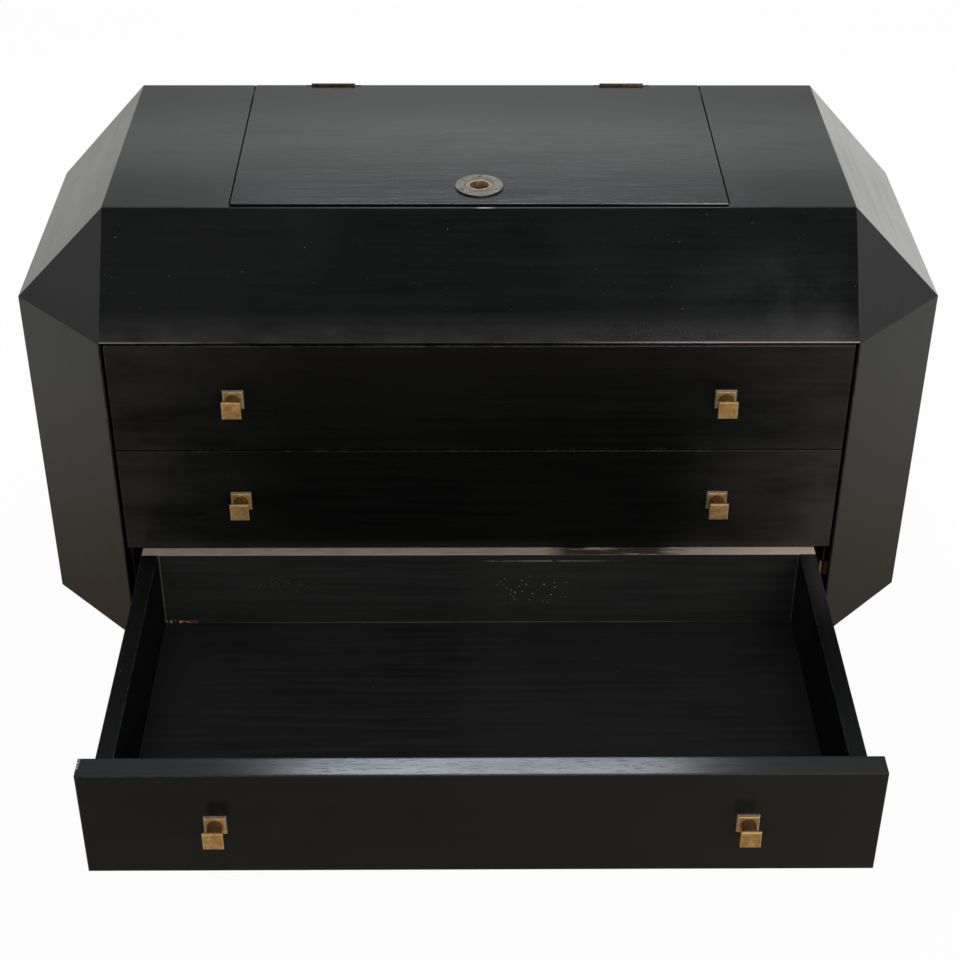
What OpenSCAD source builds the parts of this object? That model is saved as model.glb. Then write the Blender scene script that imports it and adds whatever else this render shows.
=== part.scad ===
// Faceted vanity dresser: a cut-gem case with a lift-up lid over three full-width drawers.
// Millimetres, +Z up. The origin is on the floor under the middle of the case.
// The drawer fronts face -Y and +X is to the right of someone who faces them.
// The bottom drawer is drawn out, as it stands in use; the other two and the lid are shut.

/* [Case] */
// Overall width across the side panels
body_w = 1220; // [1120:1:1400]
// Overall depth from the drawer fronts to the back
body_d = 502; // [470:1:600]
// Height of the faceted case above its base
body_h = 621; // [560:1:760]
// How far the flat top's sides stand in from the side panels; the corner panels follow it
gem_in = 128; // [110:1:145]
// How far the top's front edge stands behind the drawer fronts
front_run = 108; // [80:1:125]
// Height of the sloping facets
slope_h = 139; // [120:1:170]
// Thickness of the mitred boards
board_t = 19; // [16:0.5:22]
// Thickness of the back panel
back_t = 12; // [10:0.5:15]
// Thickness of the bottom board
bottom_t = 20; // [16:0.5:22]

/* [Base] */
// Height of the recessed base under the case
base_h = 88; // [60:1:120]
// Thickness of the base's boards
plinth_t = 19; // [16:0.5:25]
// How far the base stands in from the side panels
plinth_side_in = 130; // [100:1:200]
// How far the base stands behind the drawer fronts
plinth_front_in = 118; // [100:1:150]
// How far the base stands in from the back
plinth_back_in = 20; // [10:1:60]
// Diameter of a glide
glide_d = 18; // [14:0.5:24]
// Height of a glide
glide_h = 4; // [3:0.5:8]
// Leg of a triangular glue block
block_leg = 45; // [30:1:60]
// Height of a glue block
block_h = 60; // [30:1:70]

/* [Drawer fronts] */
// Gap between a drawer front and the corner panel beside it
side_gap = 4.7; // [3:0.1:6]
// Gap between the top drawer front and the slope above it
top_gap = 2.6; // [1:0.1:5]
// Gap between two drawer fronts
mid_gap = 1.8; // [1:0.1:4]
// Height of the bottom front above the case's lower edge
bottom_gap = 1.2; // [0.5:0.1:4]
// Thickness of a drawer front
front_t = 30.5; // [24:0.5:34]

/* [Drawer boxes] */
// How far a front runs past the outside of its box
front_lap = 20.6; // [18:0.1:26]
// Thickness of a drawer side
side_t = 22; // [19:0.5:24]
// Thickness of a drawer back
box_back_t = 18; // [12:0.5:20]
// How far the sides run on behind the back, so that an open drawer still hangs
tail_l = 40; // [20:1:60]
// Height of the back's ends that lap over the sides
back_lap_h = 20; // [12:1:30]
// Height of the box's lower edge above the front's lower edge
box_lift = 24; // [22:0.5:30]
// Thickness of a drawer floor
floor_t = 6; // [5:0.5:8]
// Height of the floor's underside above the box's lower edge
floor_up = 10; // [8:0.5:14]
// Depth of the grooves that hold floor and back
groove_d = 6; // [4:0.5:7]
// Length of the dovetailed tongue at a side's front end
tongue_l = 9; // [6:0.5:12]
// Width of that tongue where it leaves the side
tongue_root = 9; // [7:0.5:11]
// Width of that tongue at its tip
tongue_tip = 13; // [9:0.5:15]
// How far the tongue stops below the top edge
tongue_stop = 14; // [8:1:25]

/* [Runners] */
// Gap between a drawer side and the liner beside it
liner_gap = 21.6; // [14:0.1:23]
// Thickness of a liner
liner_t = 16; // [12:0.5:19]
// Height of a runner
runner_h = 22; // [16:0.5:26]
// How far a runner reaches into the groove in the drawer side
runner_bite = 7.6; // [5:0.1:9]
// Height of a runner's middle above the drawer front's lower edge
runner_up = 98; // [80:1:110]
// Running gap above and below a runner
run_clear = 0.6; // [0.4:0.1:1.5]
// Gap between a closed front and the liners' front edges
front_clear = 1.4; // [1:0.1:3]
// Diameter of a stop pad behind a drawer side
pad_d = 14; // [8:0.5:18]
// Thickness of a stop pad
pad_t = 2; // [1:0.1:4]
// Gap between a stop pad and the side of a closed drawer
pad_gap = 0.5; // [0.4:0.1:1.5]
// Length of the sides that still hangs on the runners when a drawer is drawn out
hang_l = 10.6; // [8:0.2:60]

/* [Well under the lid] */
// Thickness of the deck that closes off the drawers
deck_t = 12; // [9:0.5:15]
// Thickness of the well's walls
wall_t = 16; // [12:0.5:19]
// How far a side wall reaches under the lid
ledge = 6; // [4:0.5:8]

/* [Lid] */
// Width of the lid
lid_w = 639.4; // [560:0.2:700]
// Gap around the lid
lid_gap = 1.6; // [1:0.1:3]
// Gap between the lid and what it comes down on
lid_seat = 0.5; // [0.4:0.1:1]
// Width of the glass under the lid
mirror_w = 550; // [400:1:550]
// Depth of the glass under the lid, front to back
mirror_l = 250; // [150:1:250]
// Thickness of the glass
mirror_t = 4; // [3:0.5:5]
// Gap between the glass and its recess
mirror_gap = 0.3; // [0.2:0.1:1]
// Distance of the glass from the back
mirror_back = 38; // [30:1:60]

/* [Finger pull] */
// Diameter of the flange
pull_d = 63; // [54:0.5:70]
// Height of the flange above the lid
pull_h = 2.4; // [1.5:0.1:4]
// Diameter of the bush's collar
collar_d = 39; // [34:0.5:42]
// Diameter of the finger hole
finger_d = 25.2; // [20:0.2:28]
// Wall of the bush
bush_wall = 2.4; // [1.5:0.1:3]
// Distance of the pull's centre from the back
pull_back = 334; // [300:1:345]
// Radius of the circle of flange screws
pull_screw_r = 25.2; // [23:0.1:27]
// Fitting gap round the bush
bush_gap = 0.05; // [0.02:0.01:0.3]

/* [Hinges] */
// Length of a hinge
hinge_l = 63; // [50:1:80]
// Distance of a hinge's middle from the centre line
hinge_x = 208; // [150:1:250]
// Diameter of the knuckles
knuckle_d = 6; // [5:0.1:8]
// Diameter of the pin
pin_d = 3; // [2:0.1:3.5]
// Running gap round the pin
pin_gap = 0.05; // [0.02:0.01:0.1]
// Thickness of a leaf
leaf_t = 1.4; // [1:0.1:1.8]
// Gap between the closed leaves
leaf_gap = 0.4; // [0.2:0.1:0.8]
// Distance of the pin from the back face
hinge_in = 3; // [2.8:0.1:3.4]
// Height of the pin above the lid's top
hinge_up = 0.4; // [0.2:0.1:1]
// Reach of the case's leaf below the pin
case_leaf_h = 46; // [36:1:60]
// Length of the routed groove that the knuckles lie in
slot_l = 81; // [76:1:100]
// Width of that groove
slot_w = 4; // [3:0.1:4.4]
// Depth of that groove
slot_depth = 3; // [2:0.1:4]
// Distance of that groove's middle from the lid's rear edge
slot_in = 3.6; // [3:0.1:5]

/* [Knobs] */
// Distance of a knob from the centre line
knob_x = 319; // [200:1:380]
// Side of the square back plate
plate_w = 27.5; // [24:0.5:32]
// Thickness of the back plate
plate_t = 1.8; // [1:0.1:3]
// Side of the knob's square foot
foot_w = 25.5; // [22:0.5:30]
// Thickness of the knob's foot
foot_t = 2.6; // [2:0.1:4]
// Side of the knob's square head
head_w = 25; // [20:0.5:30]
// Thickness of the head's plain edge
head_t = 5; // [3:0.5:8]
// Chamfer round the faces of foot and head
knob_bevel = 1.2; // [0.6:0.1:2]
// Diameter of the stem between foot and head
stem_d = 14; // [10:0.5:18]
// How far the knob stands out from the drawer front
knob_out = 30; // [26:0.5:40]
// Diameter of the knob's screw
knob_screw_d = 4; // [3:0.5:5]

/* [Hidden] */
$fn = 48;

// Colours of the finishes
ebony = [0.09, 0.09, 0.095];
ebony_top = [0.17, 0.18, 0.18];
inner_black = [0.06, 0.055, 0.055];
raw_wood = [0.55, 0.40, 0.27];
brass = [0.60, 0.46, 0.24];
old_bronze = [0.36, 0.31, 0.24];
steel = [0.55, 0.55, 0.56];
felt = [0.22, 0.30, 0.24];
glass = [0.75, 0.80, 0.82];

// How far a cut runs past the face that it opens
past = 1;

// The case's main levels and lines
case_z = base_h;
top_z = base_h + body_h;
girdle_z = top_z - slope_h;
front_y = -body_d / 2;
back_y = body_d / 2;
half_w = body_w / 2;
top_x = half_w - gem_in;
top_y = front_y + front_run;
// A 45 degree corner panel takes this much less of the width than the shoulder above it
corner_less = 2;
corner = gem_in - corner_less;
corner_x = half_w - corner;
corner_y = front_y + corner;
back_in = back_y - back_t;

// A plane is [normal, distance]: its points p satisfy normal * p = distance, and the normal
// points out of the case.
function plane(n, p) = let(u = n / norm(n)) [u, u * p];
function inset(q, t) = [q[0], q[1] - t];
// The one point that three planes share
function meet(a, b, c) =
  (a[1] * cross(b[0], c[0]) + b[1] * cross(c[0], a[0]) + c[1] * cross(a[0], b[0]))
  / (a[0] * cross(b[0], c[0]));
function flip(p) = [-p[0], p[1], p[2]];

// Outside planes of the right half
top_plane = plane([0, 0, 1], [0, 0, top_z]);
slope_plane = plane([0, -slope_h, front_run], [0, top_y, top_z]);
shoulder_plane = plane([slope_h, 0, half_w - top_x], [top_x, 0, top_z]);
corner_plane = plane([1, -1, 0], [corner_x, front_y, 0]);
side_plane = plane([1, 0, 0], [half_w, 0, 0]);
girdle_plane = plane([0, 0, -1], [0, 0, girdle_z]);
bottom_plane = plane([0, 0, -1], [0, 0, case_z]);
back_plane = plane([0, 1, 0], [0, back_y, 0]);

// The same planes at the boards' inner faces
top_inner = inset(top_plane, board_t);
slope_inner = inset(slope_plane, board_t);
shoulder_inner = inset(shoulder_plane, board_t);
corner_inner = inset(corner_plane, board_t);
side_inner = inset(side_plane, board_t);

// Corners of the right half, outside and inside, in one order:
// 0 top front, 1 top back, 2 girdle side, 3 girdle back, 4 girdle front,
// 5 foot side, 6 foot back, 7 foot front
outer_right = [
  [top_x, top_y, top_z],
  [top_x, back_y, top_z],
  [half_w, corner_y, girdle_z],
  [half_w, back_y, girdle_z],
  [corner_x, front_y, girdle_z],
  [half_w, corner_y, case_z],
  [half_w, back_y, case_z],
  [corner_x, front_y, case_z]
];
inner_right = [
  meet(top_inner, slope_inner, shoulder_inner),
  meet(top_inner, shoulder_inner, back_plane),
  meet(shoulder_inner, side_inner, corner_inner),
  meet(shoulder_inner, side_inner, back_plane),
  meet(slope_inner, corner_inner, girdle_plane),
  meet(side_inner, corner_inner, bottom_plane),
  meet(side_inner, bottom_plane, back_plane),
  let(p = meet(slope_inner, corner_inner, girdle_plane)) [p[0], p[1], case_z]
];
left_hand = len(outer_right);
outer_points = concat(outer_right, [for (p = outer_right) flip(p)]);
inner_points = concat(inner_right, [for (p = inner_right) flip(p)]);

// Side and front limits inside the case
side_in_x = half_w - board_t;
well_top_z = top_z - board_t;
inner_corner_y = inner_right[2][1];
inner_side_z = inner_right[2][2];
inner_top_x = inner_right[1][0];
// Where the inner faces of a corner panel, a corner facet and the slope cross a line
function corner_in_x(y) = corner_inner[1] * sqrt(2) + y;
function slope_in_y(z) = (slope_inner[1] - slope_inner[0][2] * z) / slope_inner[0][1];
facet_n = cross(inner_right[2] - inner_right[0], inner_right[4] - inner_right[0]);
facet_d = facet_n * inner_right[0];
function facet_in_x(y, z) = (facet_d - facet_n[1] * y - facet_n[2] * z) / facet_n[0];
function facet_in_y(x, z) = (facet_d - facet_n[0] * x - facet_n[2] * z) / facet_n[1];

// Drawers
front_x = corner_x - side_gap;
front_h = (girdle_z - case_z - top_gap - 2 * mid_gap - bottom_gap) / 3;
box_x = front_x - front_lap;
box_front_y = front_y + front_t;
box_in_x = box_x - side_t;
side_l = back_in - pad_t - pad_gap - box_front_y;
box_back_y = box_front_y + side_l - tail_l - box_back_t;
box_floor_z = box_lift + floor_up;
box_floor_top = box_floor_z + floor_t;
// Level of each front's lower edge, 0 for the top drawer
function drawer_z(k) = case_z + bottom_gap + (2 - k) * (front_h + mid_gap);

// Liners, runners and deck
liner_x = box_x + liner_gap;
liner_out_x = liner_x + liner_t;
liner_front_y = box_front_y + front_clear;
deck_gap = 0.5;
deck_z = girdle_z + deck_gap;
deck_top = deck_z + deck_t;
deck_lap = 12;
deck_x = liner_out_x + deck_lap;
runner_in_x = box_x - runner_bite;
runner_end_gap = 2;
// The bottom drawer stands drawn out as far as its sides still hang on the runners
drawn = box_front_y + side_l - hang_l - liner_front_y;
function drawer_out(k) = k == 2 ? drawn : 0;

// Lid and well
lid_x = lid_w / 2;
lid_t = board_t - lid_seat;
lid_under_z = top_z - lid_t;
mitre_in_y = inner_right[0][1];
mitre_gap = 0.3;
lid_front_y = mitre_in_y + mitre_gap;
well_front_y = mitre_in_y + mitre_gap;
well_x = lid_x - ledge;
pull_y = back_y - pull_back;

// Hinges
pin_y = back_y - hinge_in;
pin_z = top_z + hinge_up;
knuckle_count = 5;
knuckle_l = hinge_l / knuckle_count;
knuckle_gap = 0.15;
leaf_clear = 0.3;
leaf_top = -(knuckle_d / 2 + leaf_clear);
lid_leaf_h = lid_t + hinge_up - 1;
leaf_screw_x = hinge_l / 3;
leaf_screw_r = 1.4;
leaf_screw_l = 8.5;
leaf_head_r = 2.5;

// Base
plinth_x = half_w - plinth_side_in;
plinth_front_y = front_y + plinth_front_in;
plinth_back_y = back_y - plinth_back_in;
rail_xs = [-(plinth_x - plinth_t / 2), 0, plinth_x - plinth_t / 2];

// One mitred board: the outer and inner corners with these indices, joined by mitre faces.
// Both boards at an edge split its mitre face along the same line, so they meet without a gap.
module board(loop) {
  n = len(loop);
  points = concat([for (i = loop) outer_points[i]], [for (i = loop) inner_points[i]]);
  mitres = [
    for (k = [0 : n - 1])
      let(m = (k + 1) % n)
      each (loop[k] % left_hand < loop[m] % left_hand
        ? [[m, k, m + n], [k, k + n, m + n]]
        : [[m, k, k + n], [m, k + n, m + n]])
  ];
  polyhedron(points, concat(
    [[for (k = [0 : n - 1]) k]],
    [[for (k = [n - 1 : -1 : 0]) k + n]],
    mitres
  ));
}

// A box between two corners
module block(low, high) {
  translate(low) cube(high - low);
}

module mirrored(flipped) {
  mirror([flipped ? 1 : 0, 0, 0]) children();
}

// A countersunk screw whose head is flush with z = 0 and whose shank points down
module csk_screw(shank_r, head_r, length) {
  head_h = head_r - shank_r;
  rotate_extrude()
    polygon([[0, 0], [head_r, 0], [shank_r, -head_h], [shank_r, -length + shank_r],
      [0.2, -length], [0, -length]]);
}

// The hole for such a screw
module csk_hole(shank_r, head_r, length) {
  head_h = head_r - shank_r;
  translate([0, 0, -head_h]) cylinder(r1 = shank_r, r2 = head_r, h = head_h);
  translate([0, 0, -length - past]) cylinder(r = shank_r, h = length + past);
}

// Case boards

module top_panel() {
  color(ebony_top) difference() {
    board([1 + left_hand, 1, 0, 0 + left_hand]);
    block([-lid_x - lid_gap, lid_front_y - lid_gap, well_top_z - past],
      [lid_x + lid_gap, back_y + past, top_z + past]);
  }
}

module front_slope() {
  color(ebony) board([0 + left_hand, 0, 4, 4 + left_hand]);
}

module shoulder(flipped) {
  color(ebony) mirrored(flipped) board([0, 1, 3, 2]);
}

module corner_facet(flipped) {
  color(ebony) mirrored(flipped) board([0, 2, 4]);
}

module corner_panel(flipped) {
  color(ebony) mirrored(flipped) board([4, 2, 5, 7]);
}

module side_panel(flipped) {
  color(ebony) mirrored(flipped) board([2, 3, 6, 5]);
}

module back_panel() {
  color(ebony) difference() {
    translate([0, back_y, 0]) rotate([90, 0, 0]) linear_extrude(back_t) polygon([
      [side_in_x, case_z], [side_in_x, inner_side_z], [inner_top_x, well_top_z],
      [-inner_top_x, well_top_z], [-side_in_x, inner_side_z], [-side_in_x, case_z]
    ]);
    at_hinges() {
      block([-hinge_l / 2 - leaf_clear, leaf_gap / 2, -case_leaf_h - leaf_clear],
        [hinge_l / 2 + leaf_clear, hinge_in + past, 0]);
      case_leaf_screws() cylinder(r = leaf_screw_r, h = 2 * leaf_screw_l, center = true);
    }
  }
}

module bottom_board() {
  front_corner_x = corner_in_x(liner_front_y);
  color(ebony) translate([0, 0, case_z]) linear_extrude(bottom_t) polygon([
    [side_in_x, back_in], [side_in_x, inner_corner_y], [front_corner_x, liner_front_y],
    [-front_corner_x, liner_front_y], [-side_in_x, inner_corner_y], [-side_in_x, back_in]
  ]);
}

// The deck lies behind the slope, with its corners cut back along the corner facets
module deck() {
  front = slope_in_y(deck_top) + deck_gap;
  cut_x = facet_in_x(front, deck_top) - deck_gap;
  cut_y = facet_in_y(deck_x + deck_gap, deck_top);
  color(inner_black) translate([0, 0, deck_z]) linear_extrude(deck_t) polygon([
    [deck_x, back_in], [deck_x, cut_y], [cut_x, front],
    [-cut_x, front], [-deck_x, cut_y], [-deck_x, back_in]
  ]);
}

// A liner's front edge is bevelled to lie along the corner panel and under the corner facet
module liner(flipped) {
  cut_x = facet_in_x(liner_front_y, deck_z);
  cut_y = facet_in_y(liner_out_x, deck_z);
  color(inner_black) mirrored(flipped) translate([0, 0, case_z + bottom_t])
    linear_extrude(deck_z - case_z - bottom_t) polygon([
      [liner_x, liner_front_y], [cut_x, liner_front_y], [liner_out_x, cut_y],
      [liner_out_x, back_in], [liner_x, back_in]
    ]);
}

// Six side-hung runners, with their front ends eased so that a drawer finds them
module runners() {
  ease = 4;
  color(raw_wood) for (k = [0 : 2], flipped = [false, true])
    mirrored(flipped) translate([0, 0, drawer_z(k) + runner_up - runner_h / 2])
      linear_extrude(runner_h) difference() {
        polygon([
          [liner_x, back_in - runner_end_gap], [runner_in_x, back_in - runner_end_gap],
          [runner_in_x, liner_front_y], [liner_x, liner_front_y]
        ]);
        translate([runner_in_x, liner_front_y]) difference() {
          square(2 * ease, center = true);
          translate([ease, ease]) circle(ease);
        }
      }
}

// Felt pads on the back panel that stop each drawer by the rear ends of its sides
module drawer_stops() {
  pad_up = (box_lift + runner_up - runner_h / 2) / 2;
  color(felt) for (k = [0 : 2], s = [-1, 1])
    translate([s * (box_x - side_t / 2), back_in, drawer_z(k) + pad_up])
      rotate([90, 0, 0]) cylinder(d = pad_d, h = pad_t);
}

module well_wall_side(flipped) {
  color(inner_black) mirrored(flipped)
    block([well_x, well_front_y + wall_t, deck_top], [well_x + wall_t, back_in, well_top_z]);
}

module well_wall_front() {
  color(inner_black) block([-well_x - wall_t, well_front_y, deck_top],
    [well_x + wall_t, well_front_y + wall_t, well_top_z]);
}

// Base

module plinth_front() {
  color(ebony) block([-plinth_x, plinth_front_y, glide_h],
    [plinth_x, plinth_front_y + plinth_t, case_z]);
}

module plinth_back() {
  color(ebony) block([-plinth_x, plinth_back_y - plinth_t, glide_h],
    [plinth_x, plinth_back_y, case_z]);
}

module plinth_rails() {
  color(ebony) for (x = rail_xs)
    block([x - plinth_t / 2, plinth_front_y + plinth_t, glide_h],
      [x + plinth_t / 2, plinth_back_y - plinth_t, case_z]);
}

module glue_blocks() {
  x = plinth_x - plinth_t;
  color(raw_wood) for (flipped = [false, true], end = [
      [plinth_front_y + plinth_t, 1], [plinth_back_y - plinth_t, -1]])
    mirrored(flipped) translate([0, 0, case_z - block_h]) linear_extrude(block_h) polygon([
      [x, end[0]], [x - block_leg, end[0]], [x, end[0] + end[1] * block_leg]
    ]);
}

// A glide under each end of the outer rails and one under the middle of the base
module glides() {
  edge = 1;
  front_glide_y = plinth_front_y + plinth_t / 2;
  back_glide_y = plinth_back_y - plinth_t / 2;
  places = [[rail_xs[0], front_glide_y], [rail_xs[2], front_glide_y],
    [rail_xs[0], back_glide_y], [rail_xs[2], back_glide_y], [0, 0]];
  color(old_bronze) for (p = places)
    translate(p) rotate_extrude() polygon([
      [0, 0], [glide_d / 2 - edge, 0], [glide_d / 2, edge], [glide_d / 2, glide_h], [0, glide_h]
    ]);
}

// Hinges

// Both hinge places, with the pin along X through the local origin
module at_hinges() {
  for (s = [-1, 1]) translate([s * hinge_x, pin_y, pin_z]) children();
}

// The knuckles numbered in spans, cut for the pin, with the stem of leaf that carries them
module knuckles(spans, leaf_y) {
  for (i = spans) translate([(i - knuckle_count / 2) * knuckle_l + knuckle_gap, 0, 0]) {
    length = knuckle_l - 2 * knuckle_gap;
    rotate([0, 90, 0]) cylinder(d = knuckle_d, h = length);
    block([0, leaf_y, leaf_top - past], [length, leaf_y + leaf_t, -pin_d / 2]);
  }
}

module pin_bore(gap) {
  rotate([0, 90, 0]) cylinder(d = pin_d + 2 * gap, h = hinge_l + 2 * past, center = true);
}

// Screw places in a leaf, with the local z axis along the screw and pointing out of its head
module lid_leaf_screws() {
  for (x = [-1, 0, 1])
    translate([x * leaf_screw_x, -leaf_gap / 2, (leaf_top - lid_leaf_h) / 2])
      rotate([-90, 0, 0]) children();
}

module case_leaf_screws() {
  for (x = [-1, 0, 1])
    translate([x * leaf_screw_x, leaf_gap / 2 + leaf_t, -(case_leaf_h + lid_leaf_h) / 2])
      rotate([-90, 0, 0]) children();
}

module hinge_case_leaves() {
  leaf_y = leaf_gap / 2;
  color(old_bronze) at_hinges() difference() {
    union() {
      block([-hinge_l / 2, leaf_y, -case_leaf_h], [hinge_l / 2, leaf_y + leaf_t, leaf_top]);
      knuckles([0, 2, 4], leaf_y);
    }
    pin_bore(pin_gap);
    case_leaf_screws() csk_hole(leaf_screw_r, leaf_head_r, leaf_t);
  }
}

module hinge_lid_leaves() {
  leaf_y = -leaf_gap / 2 - leaf_t;
  color(old_bronze) at_hinges() difference() {
    union() {
      block([-hinge_l / 2, leaf_y, -lid_leaf_h], [hinge_l / 2, leaf_y + leaf_t, leaf_top]);
      knuckles([1, 3], leaf_y);
    }
    pin_bore(pin_gap);
    lid_leaf_screws() csk_hole(leaf_screw_r, leaf_head_r, leaf_t);
  }
}

module hinge_pins() {
  color(old_bronze) at_hinges()
    rotate([0, 90, 0]) cylinder(d = pin_d, h = hinge_l, center = true);
}

module hinge_case_screws() {
  color(brass) at_hinges()
    case_leaf_screws() csk_screw(leaf_screw_r, leaf_head_r, leaf_screw_l);
}

module hinge_lid_screws() {
  color(brass) at_hinges()
    lid_leaf_screws() csk_screw(leaf_screw_r, leaf_head_r, leaf_screw_l);
}

// Lid

module lid_board() {
  groove_r = knuckle_d / 2 + leaf_clear + 0.1;
  slot_r = slot_w / 2;
  mirror_front = back_y - mirror_back - mirror_l;
  color(ebony_top) difference() {
    block([-lid_x, lid_front_y, lid_under_z], [lid_x, back_y, top_z]);
    translate([0, pull_y, lid_under_z - past])
      cylinder(d = finger_d + 2 * (bush_wall + bush_gap), h = lid_t + 2 * past);
    at_pull_screws() cylinder(r = leaf_screw_r, h = 4 * leaf_screw_l, center = true);
    block([-mirror_w / 2 - mirror_gap, mirror_front - mirror_gap, lid_under_z - past],
      [mirror_w / 2 + mirror_gap, mirror_front + mirror_l + mirror_gap,
        lid_under_z + mirror_t]);
    at_hinges() {
      block([-hinge_l / 2 - leaf_clear, -leaf_gap / 2 - leaf_t, -lid_t - hinge_up - past],
        [hinge_l / 2 + leaf_clear, hinge_in + past, past]);
      rotate([0, 90, 0]) cylinder(r = groove_r, h = hinge_l + 2 * leaf_clear, center = true);
      lid_leaf_screws() cylinder(r = leaf_screw_r, h = 2 * leaf_screw_l, center = true);
      translate([0, hinge_in - slot_in, -hinge_up - slot_depth]) {
        block([slot_r - slot_l / 2, -slot_r, 0],
          [slot_l / 2 - slot_r, slot_r, slot_depth + past]);
        for (s = [-1, 1]) translate([s * (slot_l / 2 - slot_r), 0, 0])
          cylinder(r = slot_r, h = slot_depth + past);
      }
    }
  }
}

module lid_mirror() {
  color(glass) block([-mirror_w / 2, back_y - mirror_back - mirror_l, lid_under_z],
    [mirror_w / 2, back_y - mirror_back, lid_under_z + mirror_t]);
}

module at_pull_screws() {
  for (a = [90, 210, 330]) translate([0, pull_y, top_z + pull_h])
    rotate([0, 0, a]) translate([pull_screw_r, 0, 0]) children();
}

module pull_flange() {
  edge = 0.5;
  inner_r = collar_d / 2 + bush_gap;
  color(brass) difference() {
    translate([0, pull_y, top_z]) rotate_extrude() polygon([
      [inner_r, 0], [pull_d / 2, 0], [pull_d / 2, pull_h - edge], [pull_d / 2 - edge, pull_h],
      [inner_r, pull_h]
    ]);
    at_pull_screws() csk_hole(leaf_screw_r, leaf_head_r, pull_h);
  }
}

// The bush lines the finger hole through the lid, under a collar and a rolled lip
module pull_bush() {
  finger_r = finger_d / 2;
  lip = 0.9;
  color(brass) translate([0, pull_y, top_z]) rotate_extrude() union() {
    polygon([
      [finger_r, -lid_t], [finger_r + bush_wall, -lid_t], [finger_r + bush_wall, 0],
      [collar_d / 2, 0], [collar_d / 2, pull_h], [finger_r, pull_h]
    ]);
    translate([finger_r + lip, pull_h]) intersection() {
      circle(lip);
      translate([-lip, -lip / 2]) square(2 * lip);
    }
  }
}

module pull_screws() {
  color(brass) at_pull_screws()
    csk_screw(leaf_screw_r, leaf_head_r, pull_h + leaf_screw_l);
}

// Drawers: in their own frame y is that of the closed drawer and z starts at the front's lower
// edge

module in_drawer(k) {
  translate([0, -drawer_out(k), drawer_z(k)]) children();
}

// The dovetail's outline, with its root on y = 0 and its tip towards -Y
module dovetail() {
  polygon([
    [-tongue_root / 2, 0], [-tongue_tip / 2, -tongue_l], [tongue_tip / 2, -tongue_l],
    [tongue_root / 2, 0]
  ]);
}

module at_knobs() {
  for (s = [-1, 1]) translate([s * knob_x, front_y, front_h / 2]) children();
}

module drawer_front(k) {
  color(ebony) in_drawer(k) difference() {
    block([-front_x, front_y, 0], [front_x, box_front_y, front_h]);
    for (s = [-1, 1]) translate([s * (box_x - side_t / 2), box_front_y, -past])
      linear_extrude(front_h - tongue_stop + past) union() {
        dovetail();
        translate([-tongue_root / 2, 0]) square([tongue_root, past]);
      }
    block([-box_in_x - groove_d, box_front_y - groove_d, box_floor_z],
      [box_in_x + groove_d, box_front_y + past, box_floor_top]);
    at_knobs() rotate([-90, 0, 0])
      translate([0, 0, -past]) cylinder(d = knob_screw_d + 0.2, h = front_t + 2 * past);
  }
}

module drawer_side(k, flipped) {
  half_run = runner_h / 2 + run_clear;
  color(inner_black) in_drawer(k) mirrored(flipped) difference() {
    union() {
      block([box_in_x, box_front_y, box_lift], [box_x, box_front_y + side_l, front_h]);
      translate([box_x - side_t / 2, box_front_y, box_lift])
        linear_extrude(front_h - tongue_stop - box_lift) dovetail();
    }
    block([runner_in_x - run_clear, box_front_y, runner_up - half_run],
      [box_x + past, box_front_y + side_l + past, runner_up + half_run]);
    block([box_in_x - past, box_front_y - groove_d, box_floor_z],
      [box_in_x + groove_d, box_front_y + side_l + past, box_floor_top]);
    block([box_in_x - past, box_back_y, box_floor_top],
      [box_in_x + groove_d, box_back_y + box_back_t, front_h]);
    block([box_in_x - past, box_back_y, front_h - back_lap_h],
      [box_x + past, box_front_y + side_l + past, front_h + past]);
  }
}

// The back stands on the floor between the sides, and its top laps over them
module drawer_back(k) {
  x = box_in_x + groove_d;
  color(raw_wood) in_drawer(k) translate([0, box_back_y + box_back_t, 0]) rotate([90, 0, 0])
    linear_extrude(box_back_t) polygon([
      [-x, box_floor_top], [x, box_floor_top], [x, front_h - back_lap_h],
      [box_x, front_h - back_lap_h], [box_x, front_h], [-box_x, front_h],
      [-box_x, front_h - back_lap_h], [-x, front_h - back_lap_h]
    ]);
}

module drawer_floor(k) {
  x = box_in_x + groove_d;
  color(inner_black) in_drawer(k)
    block([-x, box_front_y - groove_d, box_floor_z], [x, box_back_y + box_back_t, box_floor_top]);
}

// A square slab on z = 0 with its upper edges chamfered
module slab(w, t) {
  inner = w - 2 * knob_bevel;
  hull() {
    translate([-w / 2, -w / 2, 0]) cube([w, w, t - knob_bevel]);
    translate([-inner / 2, -inner / 2, 0]) cube([inner, inner, t]);
  }
}

// Foot, stem and head of one knob, standing on z = 0
module knob() {
  length = knob_out - plate_t;
  head_z = length - head_t - knob_bevel;
  corner_r = head_w / sqrt(2);
  flare_r = corner_r - stem_d / 2;
  difference() {
    union() {
      slab(foot_w, foot_t);
      translate([0, 0, head_z]) slab(head_w, head_t + knob_bevel);
      intersection() {
        rotate_extrude() difference() {
          square([corner_r, head_z]);
          translate([corner_r, head_z - flare_r]) circle(flare_r);
          translate([stem_d / 2, 0]) square([corner_r, head_z - flare_r]);
        }
        translate([-head_w / 2, -head_w / 2, 0]) cube([head_w, head_w, head_z]);
      }
    }
    translate([0, 0, -past]) cylinder(d = knob_screw_d + 0.1, h = length / 2 + past);
  }
}

module drawer_knobs(k) {
  color(brass) in_drawer(k) at_knobs() rotate([90, 0, 0]) translate([0, 0, plate_t]) knob();
}

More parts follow.
